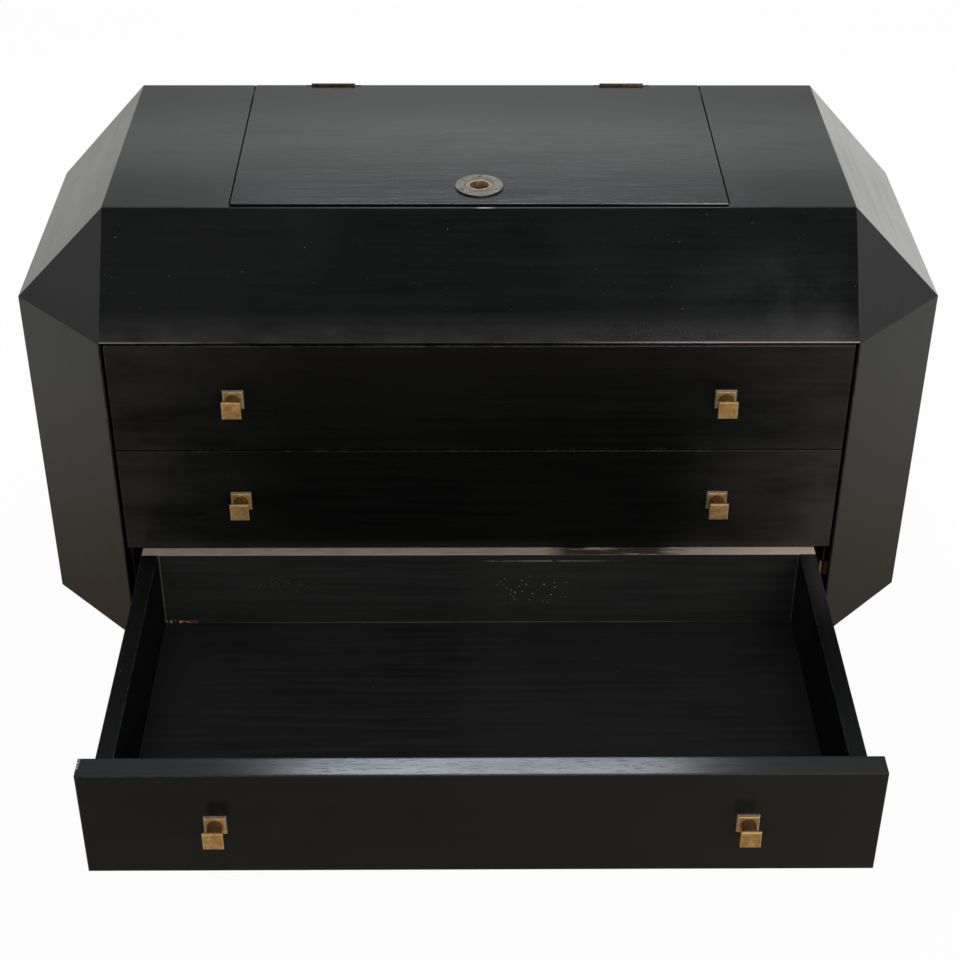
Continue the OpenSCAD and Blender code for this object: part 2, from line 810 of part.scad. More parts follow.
module drawer_plates(k) {
  color(old_bronze) in_drawer(k) at_knobs() rotate([90, 0, 0]) difference() {
    translate([-plate_w / 2, -plate_w / 2, 0]) cube([plate_w, plate_w, plate_t]);
    translate([0, 0, -past]) cylinder(d = knob_screw_d + 0.2, h = plate_t + 2 * past);
  }
}

// Pan-headed screws, put in from inside the drawer
module drawer_screws(k) {
  head_r = knob_screw_d;
  head_h = 2.6;
  reach = (knob_out - plate_t) / 2 - 1 + plate_t;
  color(steel) in_drawer(k) at_knobs() rotate([-90, 0, 0]) {
    translate([0, 0, -reach]) cylinder(d = knob_screw_d, h = reach + front_t);
    translate([0, 0, front_t]) cylinder(r = head_r, h = head_h);
  }
}

top_panel();
front_slope();
shoulder(true);  // shoulder_left
shoulder(false);  // shoulder_right
corner_facet(true);  // corner_facet_left
corner_facet(false);  // corner_facet_right
corner_panel(true);  // corner_panel_left
corner_panel(false);  // corner_panel_right
side_panel(true);  // side_left
side_panel(false);  // side_right
back_panel();
bottom_board();
deck();
liner(true);  // liner_left
liner(false);  // liner_right
runners();
drawer_stops();
well_wall_side(true);  // well_wall_left
well_wall_side(false);  // well_wall_right
well_wall_front();
plinth_front();
plinth_back();
plinth_rails();
glue_blocks();
glides();
hinge_case_leaves();
hinge_case_screws();
hinge_pins();
lid_board();
lid_mirror();
pull_flange();
pull_bush();
pull_screws();
hinge_lid_leaves();
hinge_lid_screws();
drawer_front(0);  // top_drawer_front
drawer_side(0, true);  // top_drawer_left
drawer_side(0, false);  // top_drawer_right
drawer_back(0);  // top_drawer_back
drawer_floor(0);  // top_drawer_floor
drawer_knobs(0);  // top_drawer_knobs
drawer_plates(0);  // top_drawer_plates
drawer_screws(0);  // top_drawer_screws
drawer_front(1);  // middle_drawer_front
drawer_side(1, true);  // middle_drawer_left
drawer_side(1, false);  // middle_drawer_right
drawer_back(1);  // middle_drawer_back
drawer_floor(1);  // middle_drawer_floor
drawer_knobs(1);  // middle_drawer_knobs
drawer_plates(1);  // middle_drawer_plates
drawer_screws(1);  // middle_drawer_screws
drawer_front(2);  // bottom_drawer_front
drawer_side(2, true);  // bottom_drawer_left
drawer_side(2, false);  // bottom_drawer_right
drawer_back(2);  // bottom_drawer_back
drawer_floor(2);  // bottom_drawer_floor
drawer_knobs(2);  // bottom_drawer_knobs
drawer_plates(2);  // bottom_drawer_plates
drawer_screws(2);  // bottom_drawer_screws
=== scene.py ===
import math
import bmesh
import bpy
from mathutils import Matrix, Vector


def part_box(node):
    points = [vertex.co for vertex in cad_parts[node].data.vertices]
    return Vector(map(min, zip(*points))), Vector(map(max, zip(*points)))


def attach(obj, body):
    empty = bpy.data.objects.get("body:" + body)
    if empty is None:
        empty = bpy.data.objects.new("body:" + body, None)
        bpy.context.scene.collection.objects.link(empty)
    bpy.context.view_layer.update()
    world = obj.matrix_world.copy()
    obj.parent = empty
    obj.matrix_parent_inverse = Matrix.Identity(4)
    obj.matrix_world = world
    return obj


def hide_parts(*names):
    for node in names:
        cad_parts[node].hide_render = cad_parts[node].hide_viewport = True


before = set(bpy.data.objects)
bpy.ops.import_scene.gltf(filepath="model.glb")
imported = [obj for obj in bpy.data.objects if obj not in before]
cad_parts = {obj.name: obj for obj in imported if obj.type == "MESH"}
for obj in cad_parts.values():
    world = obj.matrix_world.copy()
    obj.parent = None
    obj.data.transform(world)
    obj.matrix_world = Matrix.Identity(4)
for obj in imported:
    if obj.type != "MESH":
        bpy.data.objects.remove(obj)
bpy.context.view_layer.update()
scene = bpy.context.scene
scene.view_settings.view_transform = "Standard"
print("frame loaded:", len(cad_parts), "nodes")

# boxes of the nodes that several pieces and marks are measured from
caseLow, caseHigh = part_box("top_panel")
lidLow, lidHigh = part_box("lid_board")
hingeLow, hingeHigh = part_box("hinge_pins")
flangeLow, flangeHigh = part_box("pull_flange")
slopeLow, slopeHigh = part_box("front_slope")
drawnLow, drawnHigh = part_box("bottom_drawer_front")
backLow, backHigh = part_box("bottom_drawer_back")


# camera, as the photograph was taken

view = {
    "place": (-0.0230, -2.3206, 1.7917),
    "lens": 70.740,
    "sensor": 36,
    "pitch": 34.661,  # degrees below the horizon
    "yaw": 0.659,
    "roll": -0.272,
}


def makeCamera():
    data = bpy.data.cameras.new("camera")
    data.lens = view["lens"]
    data.sensor_width = view["sensor"]
    camera = bpy.data.objects.new("camera", data)
    scene.collection.objects.link(camera)
    turn = (Matrix.Rotation(math.radians(-view["yaw"]), 4, "Z")
            @ Matrix.Rotation(math.radians(90 - view["pitch"]), 4, "X")
            @ Matrix.Rotation(math.radians(-view["roll"]), 4, "Z"))
    camera.matrix_world = Matrix.Translation(view["place"]) @ turn
    scene.camera = camera


makeCamera()


# node helpers

evenBand = (0.3, 0.7)  # the levels that most of a noise lies between


def addNode(tree, kind, inputs=None, **settings):
    made = tree.nodes.new("ShaderNode" + kind)
    for key, value in settings.items():
        setattr(made, key, value)
    for key, value in (inputs or {}).items():
        socket = made.inputs[key]
        if isinstance(value, bpy.types.NodeSocket):
            tree.links.new(value, socket)
        elif socket.type == "RGBA" and len(value) == 3:
            socket.default_value = (*value, 1)
        else:
            socket.default_value = value
    return made


def noise(tree, place, scale, detail=3, roughness=0.5, distortion=0):
    return addNode(tree, "TexNoise", {"Vector": place, "Scale": scale, "Detail": detail,
                                      "Roughness": roughness, "Distortion": distortion}).outputs[0]


def spread(tree, value, low, high, toLow=0, toHigh=1, curve="LINEAR"):
    inputs = {"Value": value, 1: low, 2: high, 3: toLow, 4: toHigh}
    return addNode(tree, "MapRange", inputs, interpolation_type=curve).outputs[0]


def calc(tree, operation, a, b=0, clamp=False):
    return addNode(tree, "Math", {0: a, 1: b}, operation=operation, use_clamp=clamp).outputs[0]


def blendColor(tree, share, a, b):
    return addNode(tree, "Mix", {0: share, 6: a, 7: b}, data_type="RGBA").outputs[2]


def stretched(tree, place, along, squeeze):
    scale = [squeeze] * 3
    scale["xyz".index(along)] = 1
    return addNode(tree, "Mapping", {"Vector": place, "Scale": scale}).outputs[0]


def emptyTree(owner):
    owner.use_nodes = True
    owner.node_tree.nodes.clear()
    return owner.node_tree


def newMaterial(name, **fixed):
    material = bpy.data.materials.new(name)
    tree = emptyTree(material)
    shader = addNode(tree, "BsdfPrincipled", fixed)
    addNode(tree, "OutputMaterial", {"Surface": shader.outputs[0]})
    place = addNode(tree, "TexCoord").outputs["Object"]
    return material, tree, shader, place


def link(tree, value, shader, socket):
    tree.links.new(value, shader.inputs[socket])


def linkBump(tree, height, shader, strength, depth):
    bump = addNode(tree, "Bump", {"Height": height, "Strength": strength, "Distance": depth})
    link(tree, bump.outputs[0], shader, "Normal")


def wearMask(tree, place, low, high, scale=90):
    # rubbed arrises, broken up by noise
    edge = calc(tree, "POWER", addNode(tree, "Attribute", attribute_name="wear").outputs["Fac"], 3)
    broken = spread(tree, noise(tree, place, scale, 4, 0.65), low, high)
    return calc(tree, "MULTIPLY", edge, broken, True)


def speckMask(tree, place, scale, reach):
    # round specks of the radius "reach", one in some of the cells
    cells = addNode(tree, "TexVoronoi", {"Vector": place, "Scale": scale})
    spot = spread(tree, cells.outputs["Distance"], reach * scale, reach * scale * 0.6)
    chosen = addNode(tree, "SeparateColor", {0: cells.outputs["Color"]}).outputs[0]
    return calc(tree, "MULTIPLY", spot, spread(tree, chosen, 0.5, 0.75), True)


# finishes of the wood

def veil(where, share, color, patches=None, specks=None, squeeze=1):
    # another tone laid over a finish, in patches (noise scale and band) or specks (cells a metre, radius);
    # "where" has axes, each with the level where the tone starts and the level where it is full
    return {"where": where, "share": share, "color": color, "patches": patches, "specks": specks,
            "squeeze": squeeze}


def veilMask(tree, place, one):
    # besides x, y and z there is the axis "up", which is how far a face points up
    axes = dict(zip("xyz", addNode(tree, "SeparateXYZ", {0: place}).outputs))
    axes["up"] = addNode(tree, "SeparateXYZ", {0: addNode(tree, "TexCoord").outputs["Normal"]}).outputs[2]
    if one["specks"]:
        mask = speckMask(tree, place, *one["specks"])
    else:
        scale, low, high = one["patches"]
        patches = noise(tree, stretched(tree, place, "x", one["squeeze"]), scale, 5, 0.62)
        mask = spread(tree, patches, low, high)
    for axis, start, full in one["where"]:
        mask = calc(tree, "MULTIPLY", mask, spread(tree, axes[axis], start, full))
    return calc(tree, "MULTIPLY", mask, one["share"], True)


plainLacquer = {
    "along": "x", "squeeze": 22, "poreSqueeze": 14,  # the grain's direction, and how drawn out it is
    "grainScale": 5, "poreScale": 45, "cloudScale": 4, "speckScale": 420,
    "dark": (0.0075, 0.0075, 0.0078), "light": (0.011, 0.011, 0.0112), "grainBand": (0.35, 0.68),
    "cloud": (0.016, 0.016, 0.016), "cloudShare": 0.6, "cloudBand": (0.42, 0.72),
    "speck": (0.05, 0.048, 0.045), "speckFrom": 0.80, "speckFade": 0.06,
    "stray": None, "strayColor": (0.26, 0.26, 0.255),  # stray has the cells a metre and the radius
    "worn": (0.09, 0.085, 0.078), "wearRange": (0.5, 0.62), "wearShare": 0.25, "wornDullness": 0.12,
    "specular": 0.5, "rough": (0.22, 0.28), "streaks": 0.03,
    "bump": 0.18, "depth": 0.0003, "poreBand": (0.3, 0.42), "poreShare": 0.5,
    "veils": [],
}


def makeLacquer(name, own):
    look = {**plainLacquer, **own}
    material, tree, shader, place = newMaterial(name, **{"Specular IOR Level": look["specular"]})
    along = look["along"]
    grain = noise(tree, stretched(tree, place, along, look["squeeze"]), look["grainScale"], 6, 0.6)
    pores = noise(tree, stretched(tree, place, along, look["poreSqueeze"]), look["poreScale"], 3, 0.6)
    clouds = noise(tree, place, look["cloudScale"], 3, 0.5, 0.4)
    fine = noise(tree, place, look["speckScale"], 2, 0.5)
    color = blendColor(tree, spread(tree, grain, *look["grainBand"]), look["dark"], look["light"])
    clouded = spread(tree, clouds, *look["cloudBand"], 0, look["cloudShare"])
    color = blendColor(tree, clouded, color, look["cloud"])
    specks = spread(tree, fine, look["speckFrom"], look["speckFrom"] + look["speckFade"])
    color = blendColor(tree, specks, color, look["speck"])
    if look["stray"]:
        color = blendColor(tree, speckMask(tree, place, *look["stray"]), color, look["strayColor"])
    worn = calc(tree, "MULTIPLY", wearMask(tree, place, *look["wearRange"]), look["wearShare"])
    color = blendColor(tree, worn, color, look["worn"])
    for one in look["veils"]:
        color = blendColor(tree, veilMask(tree, place, one), color, one["color"])
    link(tree, color, shader, "Base Color")
    streaks = spread(tree, grain, *evenBand, -look["streaks"], look["streaks"])
    rough = calc(tree, "ADD", spread(tree, clouds, *evenBand, *look["rough"]), streaks)
    rough = calc(tree, "ADD", rough, spread(tree, worn, 0, 1, 0, look["wornDullness"]))
    link(tree, rough, shader, "Roughness")
    relief = calc(tree, "ADD", grain, spread(tree, pores, *look["poreBand"], -look["poreShare"], 0))
    linkBump(tree, relief, shader, look["bump"], look["depth"])
    return material


faceUp = ("up", 0.5, 0.8)

lidFrontEdge = ("y", -0.1312, -0.1326)
topTonesAndSheen = [veil([("x", side * 0.30, side * 0.46)], 0.45, (0.013, 0.012, 0.010), (6, 0.3, 0.6), squeeze=3)
            for side in (-1, 1)]
topTonesAndSheen += [
    # painted sheen: darker towards the front, lighter in a band a little behind the middle, darker towards
    # the back
    veil([("y", -0.02, -0.13)], 0.8, (0.006, 0.0068, 0.0072), (3, 0.0, 0.3), squeeze=2),
    veil([("y", -0.07, 0.04), ("y", 0.2, 0.1)], 0.75, (0.056, 0.0595, 0.0575), (5, 0.1, 0.5), squeeze=4),
    veil([("y", 0.13, 0.25)], 0.6, (0.009, 0.0098, 0.0095), (4, 0.0, 0.3), squeeze=3),
    # a painted highlight along the lid's front edge, on the right
    veil([lidFrontEdge, ("x", 0.16, 0.29), ("x", 0.3206, 0.3196)], 0.7, (0.42, 0.38, 0.33), (9, 0.0, 0.4)),
]
topLacquer = makeLacquer("topLacquer", {
    "dark": (0.0105, 0.0118, 0.0115), "light": (0.0245, 0.0262, 0.0258),
    "cloud": (0.026, 0.028, 0.0276), "rough": (0.17, 0.21), "streaks": 0.04, "bump": 0.2,
    "squeeze": 36, "grainScale": 8, "stray": (30, 0.0008), "veils": topTonesAndSheen,
})

# painted shade: the dull black inside gaps
gapShade = makeLacquer("gapShade", {
    "dark": (0.002, 0.002, 0.002), "light": (0.003, 0.003, 0.003), "cloud": (0.004, 0.004, 0.004),
    "specular": 0.0, "rough": (0.5, 0.6),
})

girdle, brink = slopeLow.z, slopeHigh.z  # the sloping facet's lower and upper arris
girdleEdge = ("z", girdle + 0.003, girdle + 0.0016)
brinkEdge = ("z", brink - 0.0014, brink - 0.0006)
slopeSpecksAndHighlights = [
    veil([("z", girdle + 0.028, girdle + 0.002), ("x", -0.1, 0.3)], 0.6, (0.2, 0.2, 0.19),
         specks=(640, 0.0006)),
    veil([], 0.26, (0.12, 0.12, 0.117), specks=(120, 0.0009)),
    veil([("z", girdle + 0.034, girdle)], 0.6, (0.06, 0.061, 0.059), (22, 0.1, 0.8), squeeze=2),
    veil([("x", 0.24, 0.38), ("x", 0.476, 0.44), ("z", brink - 0.03, brink - 0.08)], 0.52,
         (0.064, 0.067, 0.07), (11, 0.3, 0.8)),
    veil([("x", 0.2, 0.42), ("x", 0.485, 0.45), ("z", girdle + 0.042, girdle)], 0.6,
         (0.085, 0.085, 0.082), (13, 0.2, 0.75)),
    # a painted highlight along the lower arris, with small chips
    veil([girdleEdge, ("x", 0.1, 0.28)], 0.75, (0.55, 0.5, 0.44), (12, 0.24, 0.42)),
    veil([girdleEdge, ("x", -0.3, -0.44)], 0.4, (0.5, 0.46, 0.4), (12, 0.3, 0.5)),
    veil([girdleEdge], 0.1, (0.4, 0.36, 0.31), (60, 0.56, 0.64)),
    # a painted bluish highlight along the upper arris, brightest in a short stretch at the middle
    veil([brinkEdge, ("x", -0.38, -0.1), ("x", 0.36, 0.1)], 0.6, (0.16, 0.2, 0.235), (8, 0, 0.4)),
    veil([brinkEdge, ("x", -0.006, 0.003), ("x", 0.02, 0.009)], 0.8, (0.7, 0.76, 0.82), (8, 0, 0.2)),
]
slopeLacquer = makeLacquer("slopeLacquer", {
    "dark": (0.0042, 0.0047, 0.0051), "light": (0.0062, 0.0069, 0.0073),
    "cloud": (0.0095, 0.0102, 0.0105), "specular": 0.4, "rough": (0.26, 0.32), "speckFrom": 0.75,
    "wearShare": 0.08, "stray": (54, 0.0009), "strayColor": (0.13, 0.13, 0.128), "veils": slopeSpecksAndHighlights,
})

shoulderLacquer = makeLacquer("shoulderLacquer", {"along": "y", "rough": (0.16, 0.22)})
baseLacquer = makeLacquer("baseLacquer", {"rough": (0.4, 0.46), "bump": 0.05, "speckFrom": 0.84})

sideLook = {"along": "z", "dark": (0.0105, 0.0102, 0.0096), "light": (0.0145, 0.014, 0.0132),
            "cloud": (0.019, 0.0182, 0.017), "rough": (0.3, 0.36)}
sideLacquer = makeLacquer("sideLacquer", sideLook)
# painted shade: the panels darker and warmer towards the bottom, most on the left, a painted reflection of
# the shaded floor near the base
lowPanelShade = [veil([("z", 0.5, 0.12), ("x", 0, reach)], share, (0.006, 0.0032, 0.001), (3, 0.0, 0.1))
            for reach, share in ((-0.3, 1), (0.3, 0.4))]
panelLacquer = makeLacquer("panelLacquer", {**sideLook, "veils": lowPanelShade})

facetLacquer = makeLacquer("facetLacquer", {
    "along": "z", "dark": (0.0155, 0.0155, 0.0158), "light": (0.02, 0.02, 0.0204),
    "cloud": (0.026, 0.026, 0.0262), "rough": (0.3, 0.36),
    "veils": [veil([("z", 0.58, 0.68)], 0.7, (0.032, 0.032, 0.032), (6, 0.0, 0.3))],
})

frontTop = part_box("top_drawer_front")[1].z
frontTopEdge = ("z", frontTop - 0.0016, frontTop - 0.0008)
# painted reflection: the fronts lighter towards their ends, most at the right end lower down, and a painted
# highlight along the top arris
frontPaintedLight = [
    veil([("x", 0.22, 0.46)], 0.65, (0.031, 0.0305, 0.0295), (7, 0.3, 0.7), squeeze=3),
    veil([("x", -0.22, -0.46)], 0.6, (0.027, 0.0265, 0.0255), (7, 0.3, 0.7), squeeze=3),
    veil([("x", 0.26, 0.46), ("z", 0.43, 0.4)], 0.6, (0.046, 0.0435, 0.0395), (9, 0.25, 0.6), squeeze=3),
    veil([frontTopEdge, ("x", 0.0, 0.4)], 0.5, (0.06, 0.056, 0.05), (9, 0.1, 0.5)),
    veil([frontTopEdge], 0.5, (0.05, 0.043, 0.036), (20, 0.45, 0.6)),
]
frontLacquer = makeLacquer("frontLacquer", {
    "dark": (0.0024, 0.0026, 0.0023), "light": (0.0042, 0.0045, 0.004),
    "cloud": (0.0048, 0.0049, 0.0045), "specular": 0.3, "rough": (0.24, 0.3), "veils": frontPaintedLight,
})

# the drawn drawer's front, chipped at its upper left corner; its upward faces carry a painted bluish
# reflection, its right end a painted lighter reflection, and its rubbed arrises a bluish tone that is
# partly wear and partly a painted reflection
drawnCorner = [("x", drawnLow.x + 0.004, drawnLow.x + 0.001), ("y", drawnLow.y + 0.01, drawnLow.y + 0.013),
               ("z", drawnHigh.z - 0.004, drawnHigh.z - 0.002)]
drawnChipsAndSheen = [
    veil([faceUp], 0.85, (0.0135, 0.0185, 0.0245), (5, 0.0, 0.1)),
    veil(drawnCorner, 0.9, (0.7, 0.7, 0.69), (220, 0.46, 0.53)),
    veil([("x", 0.1, 0.46)], 0.8, (0.0145, 0.014, 0.0125), (5, 0.0, 0.3), squeeze=2),
]
drawnLacquer = makeLacquer("drawnLacquer", {
    "dark": (0.0068, 0.0069, 0.0066), "light": (0.0084, 0.0085, 0.008), "cloud": (0.01, 0.0099, 0.009),
    "specular": 0.42, "rough": (0.17, 0.2), "worn": (0.1, 0.12, 0.15), "wearRange": (0.3, 0.6),
    "wearShare": 0.3, "veils": drawnChipsAndSheen,
})

insideStain = makeLacquer("insideStain", {
    "dark": (0.0075, 0.0074, 0.0073), "light": (0.016, 0.0157, 0.0155),
    "cloud": (0.019, 0.0187, 0.0185), "cloudShare": 0.8, "specular": 0.25, "rough": (0.42, 0.55),
    "bump": 0.5, "speckFrom": 0.74, "stray": (36, 0.0008),
})

sideMarksAndLight = [
    # painted light: the right sides lighter towards the front
    veil([("y", -0.42, -0.33), ("x", 0.43, 0.45)], 0.8, (0.034, 0.034, 0.035), (12, 0.1, 0.5)),
    veil([("x", -0.448, -0.452)], 0.5, (0.2, 0.09, 0.05), (300, 0.62, 0.68)),
]
sideStain = makeLacquer("sideStain", {
    "along": "y", "dark": (0.003, 0.0032, 0.0035), "light": (0.0055, 0.0058, 0.0062),
    "cloud": (0.0075, 0.0077, 0.008), "specular": 0.1, "rough": (0.45, 0.55), "bump": 0.4,
    "worn": (0.06, 0.065, 0.074), "wearRange": (0.4, 0.6), "wearShare": 0.25, "veils": sideMarksAndLight,
})

linerStain = makeLacquer("linerStain", {
    "along": "z", "dark": (0.05, 0.051, 0.053), "light": (0.075, 0.076, 0.08),
    "cloud": (0.09, 0.09, 0.092), "specular": 0.2, "rough": (0.45, 0.55), "bump": 0.4,
})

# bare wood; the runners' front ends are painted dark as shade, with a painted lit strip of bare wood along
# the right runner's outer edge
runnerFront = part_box("runners")[0].y
runnerTip = ("y", runnerFront + 0.005, runnerFront + 0.003)
runnerEndShadeAndLight = [
    veil([runnerTip], 0.98, (0.006, 0.005, 0.005), (60, 0.0, 0.2)),
    veil([runnerTip, ("x", 0.4768, 0.478), ("x", 0.4806, 0.4799)], 0.95, (0.7, 0.4, 0.19), (60, 0.1, 0.5)),
]
rawWood = makeLacquer("rawWood", {
    "along": "y", "squeeze": 16, "grainScale": 7, "dark": (0.035, 0.018, 0.009),
    "light": (0.085, 0.045, 0.022), "cloud": (0.06, 0.032, 0.016), "speckFrom": 0.9, "specular": 0.2,
    "rough": (0.55, 0.7), "bump": 0.6, "veils": runnerEndShadeAndLight,
})

# a drawer's back: bare on top, and marked inside by chips, dust and light along its joints
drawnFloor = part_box("bottom_drawer_floor")[1].z
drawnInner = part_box("bottom_drawer_left")[1].x
innerHeight = backHigh.z - drawnFloor
innerFace = ("y", backLow.y + 0.0015, backLow.y + 0.0005)


def innerLevel(share):
    # a height on the back's inner face, as a share of it down from the top
    return backHigh.z - innerHeight * share


backVeils = [
    veil([faceUp], 1, (0.385, 0.32, 0.245), (8, 0.0, 0.1)),
    veil([faceUp], 0.7, (0.3, 0.24, 0.17), (30, 0.42, 0.6), squeeze=4),
    veil([faceUp, ("x", 0.22, 0.4)], 0.8, (0.75, 0.6, 0.49), (20, 0.2, 0.5), squeeze=4),
    veil([faceUp, ("x", 0.09, 0.12), ("x", 0.30, 0.24)], 0.9, (0.012, 0.011, 0.01), (22, 0.4, 0.5),
         squeeze=6),
    veil([("up", 0.5, 0.3), ("x", 0.4335, 0.4352)], 0.8, (0.06, 0.062, 0.068), (60, 0.2, 0.5)),
    veil([innerFace, ("z", drawnFloor + 0.0018, drawnFloor + 0.0012), ("x", -0.4, -0.2), ("x", 0.45, 0.2)],
         0.8, (0.26, 0.235, 0.2), (10, 0.25, 0.5)),
    veil([innerFace, ("z", drawnFloor + 0.006, drawnFloor + 0.003),
          ("x", drawnInner + 0.05, drawnInner + 0.012)], 0.9, (0.95, 0.45, 0.22), (260, 0.47, 0.54)),
    veil([innerFace, ("x", drawnInner + 0.0022, drawnInner + 0.0012)], 0.6, (0.16, 0.145, 0.12),
         (24, 0.2, 0.5)),
    veil([innerFace, ("x", 0.01, 0.05), ("x", 0.14, 0.1), ("z", innerLevel(0.28), innerLevel(0.4)),
          ("z", innerLevel(0.75), innerLevel(0.6))], 0.6, (0.6, 0.54, 0.41), specks=(200, 0.0011)),
    veil([innerFace, ("x", -0.33, -0.29), ("x", -0.22, -0.26), ("z", innerLevel(0.28), innerLevel(0.4)),
          ("z", innerLevel(0.62), innerLevel(0.5))], 0.7, (0.22, 0.22, 0.21), specks=(260, 0.0009)),
    veil([innerFace, ("z", innerLevel(0.1), innerLevel(0.092)), ("z", innerLevel(0.08), innerLevel(0.088)),
          ("x", 0.0, 0.03), ("x", 0.2, 0.1)], 0.8, (0.26, 0.25, 0.225), (30, 0.43, 0.5)),
]
backWood = makeLacquer("backWood", {
    "dark": (0.012, 0.0118, 0.0116), "light": (0.022, 0.0217, 0.0214), "cloud": (0.026, 0.0255, 0.025),
    "specular": 0.25, "rough": (0.42, 0.55), "bump": 0.5, "veils": backVeils,
})
print("wood finishes made")


# finishes of the metal, glass and felt

plainMetal = {
    "mottleBand": (0.36, 0.66), "fineness": 7, "fineBand": (0.55, 0.72), "fineShare": 0.5,
    "wearRange": (0.25, 0.5), "wearScale": 300, "wornShine": 0.1,
    "grime": (0.012, 0.009, 0.006), "depth": 0.0002,
}


def makeMetal(name, own):
    look = {**plainMetal, **own}
    material, tree, shader, place = newMaterial(name, Metallic=look["metallic"])
    mottled = noise(tree, place, look["mottle"], 5, 0.62, 0.6)
    fine = noise(tree, place, look["mottle"] * look["fineness"], 3, 0.6)
    color = blendColor(tree, spread(tree, mottled, *look["mottleBand"]), look["dark"], look["light"])
    tinted = spread(tree, fine, *look["fineBand"], 0, look["fineShare"])
    color = blendColor(tree, tinted, color, look["tint"])
    worn = wearMask(tree, place, *look["wearRange"], look["wearScale"])
    color = blendColor(tree, worn, color, look["worn"])
    # the attribute darkens grime and dark joints, and painted shade on the knobs' necks
    grime = addNode(tree, "Attribute", attribute_name="grime").outputs["Fac"]
    link(tree, blendColor(tree, grime, color, look["grime"]), shader, "Base Color")
    rough = spread(tree, mottled, *evenBand, *look["rough"])
    rough = calc(tree, "SUBTRACT", rough, spread(tree, worn, 0, 1, 0, look["wornShine"]))
    link(tree, rough, shader, "Roughness")
    linkBump(tree, fine, shader, look["bump"], look["depth"])
    return material


knobBrass = makeMetal("knobBrass", {
    "metallic": 0.55, "mottle": 130, "dark": (0.42, 0.22, 0.07), "light": (0.74, 0.43, 0.16),
    "tint": (0.8, 0.5, 0.22), "worn": (1.0, 0.78, 0.38), "rough": (0.34, 0.48), "bump": 0.25,
})
plateBronze = makeMetal("plateBronze", {
    "metallic": 0.7, "mottle": 120, "dark": (0.38, 0.31, 0.26), "light": (0.6, 0.52, 0.46),
    "tint": (0.5, 0.41, 0.35), "worn": (0.7, 0.62, 0.55), "rough": (0.4, 0.55), "bump": 0.3,
})
pullBrass = makeMetal("pullBrass", {
    "metallic": 0.25, "mottle": 260, "dark": (0.16, 0.085, 0.035), "light": (0.56, 0.35, 0.2),
    "tint": (0.4, 0.24, 0.13), "worn": (0.62, 0.5, 0.32), "rough": (0.4, 0.55), "bump": 0.3,
})
agedBronze = makeMetal("agedBronze", {
    "metallic": 0.9, "mottle": 80, "dark": (0.066, 0.06, 0.045), "light": (0.165, 0.145, 0.115),
    "tint": (0.25, 0.185, 0.155), "worn": (0.5, 0.38, 0.22), "rough": (0.3, 0.42), "bump": 0.3,
})
screwBronze = makeMetal("screwBronze", {
    "metallic": 0.9, "mottle": 200, "dark": (0.05, 0.038, 0.024), "light": (0.12, 0.1, 0.07),
    "tint": (0.3, 0.26, 0.2), "worn": (0.95, 0.92, 0.86), "rough": (0.22, 0.3), "bump": 0.2,
})
hingeBronze = makeMetal("hingeBronze", {
    "metallic": 1.0, "mottle": 160, "dark": (0.028, 0.019, 0.011), "light": (0.14, 0.1, 0.06),
    "tint": (0.32, 0.23, 0.14), "worn": (0.32, 0.24, 0.13), "rough": (0.36, 0.5), "bump": 0.3,
})
screwSteel = makeMetal("screwSteel", {
    "metallic": 1.0, "mottle": 90, "dark": (0.34, 0.34, 0.34), "light": (0.55, 0.55, 0.54),
    "tint": (0.6, 0.6, 0.62), "worn": (0.75, 0.75, 0.75), "rough": (0.3, 0.42), "bump": 0.2,
})


mirrorLook = {
    "hazeScale": 14, "clear": (0.86, 0.88, 0.88), "hazy": (0.74, 0.77, 0.77), "hazeBand": (0.4, 0.75),
    "rough": (0.02, 0.09), "roughBand": (0.35, 0.8),
}


def makeMirrorGlass():
    material, tree, shader, place = newMaterial("mirrorGlass", Metallic=1.0)
    haze = noise(tree, place, mirrorLook["hazeScale"], 4, 0.6)
    hazed = spread(tree, haze, *mirrorLook["hazeBand"])
    link(tree, blendColor(tree, hazed, mirrorLook["clear"], mirrorLook["hazy"]), shader, "Base Color")
    link(tree, spread(tree, haze, *mirrorLook["roughBand"], *mirrorLook["rough"]), shader, "Roughness")
    return material


feltLook = {
    "fixed": {"Specular IOR Level": 0.1, "Roughness": 0.95, "Sheen Weight": 0.4, "Sheen Roughness": 0.6},
    "fibreScale": 900, "dark": (0.03, 0.04, 0.034), "light": (0.09, 0.11, 0.095),
    "bump": 0.8, "depth": 0.0004,
}


def makeFelt():
    material, tree, shader, place = newMaterial("felt", **feltLook["fixed"])
    fibres = noise(tree, place, feltLook["fibreScale"], 4, 0.7, 1.0)
    link(tree, blendColor(tree, fibres, feltLook["dark"], feltLook["light"]), shader, "Base Color")
    linkBump(tree, fibres, shader, feltLook["bump"], feltLook["depth"])
    return material


mirrorGlass = makeMirrorGlass()
felt = makeFelt()
print("metal, glass and felt made")


# mesh helpers

arris = {
    "shellRadius": 0.0016, "shellSteps": 5,
    "innerShare": 0.6,  # a re-entrant arris of the shell is eased less, by this share
    "boardRadius": 0.0010,
    "boardLength": 0.03, "boardAngle": 0.5,  # shorter and flatter edges of a board stay sharp
    "rimLength": 0.004, "rimAngle": 1,  # of the small parts
    "wearWidth": 0.0032,  # how far rubbing reaches from an arris
    "smoothAngle": 40,
}
# how close two things are that count as one
near = {
    "weld": 0.00001, "shellWeld": 0.000004, "turnedWeld": 0.000001,
    "cut": 0.0000005, "plane": 0.0001, "point": 0.0002, "straight": 0.001,
    "flat": 0.6,  # degrees between faces that are one
}


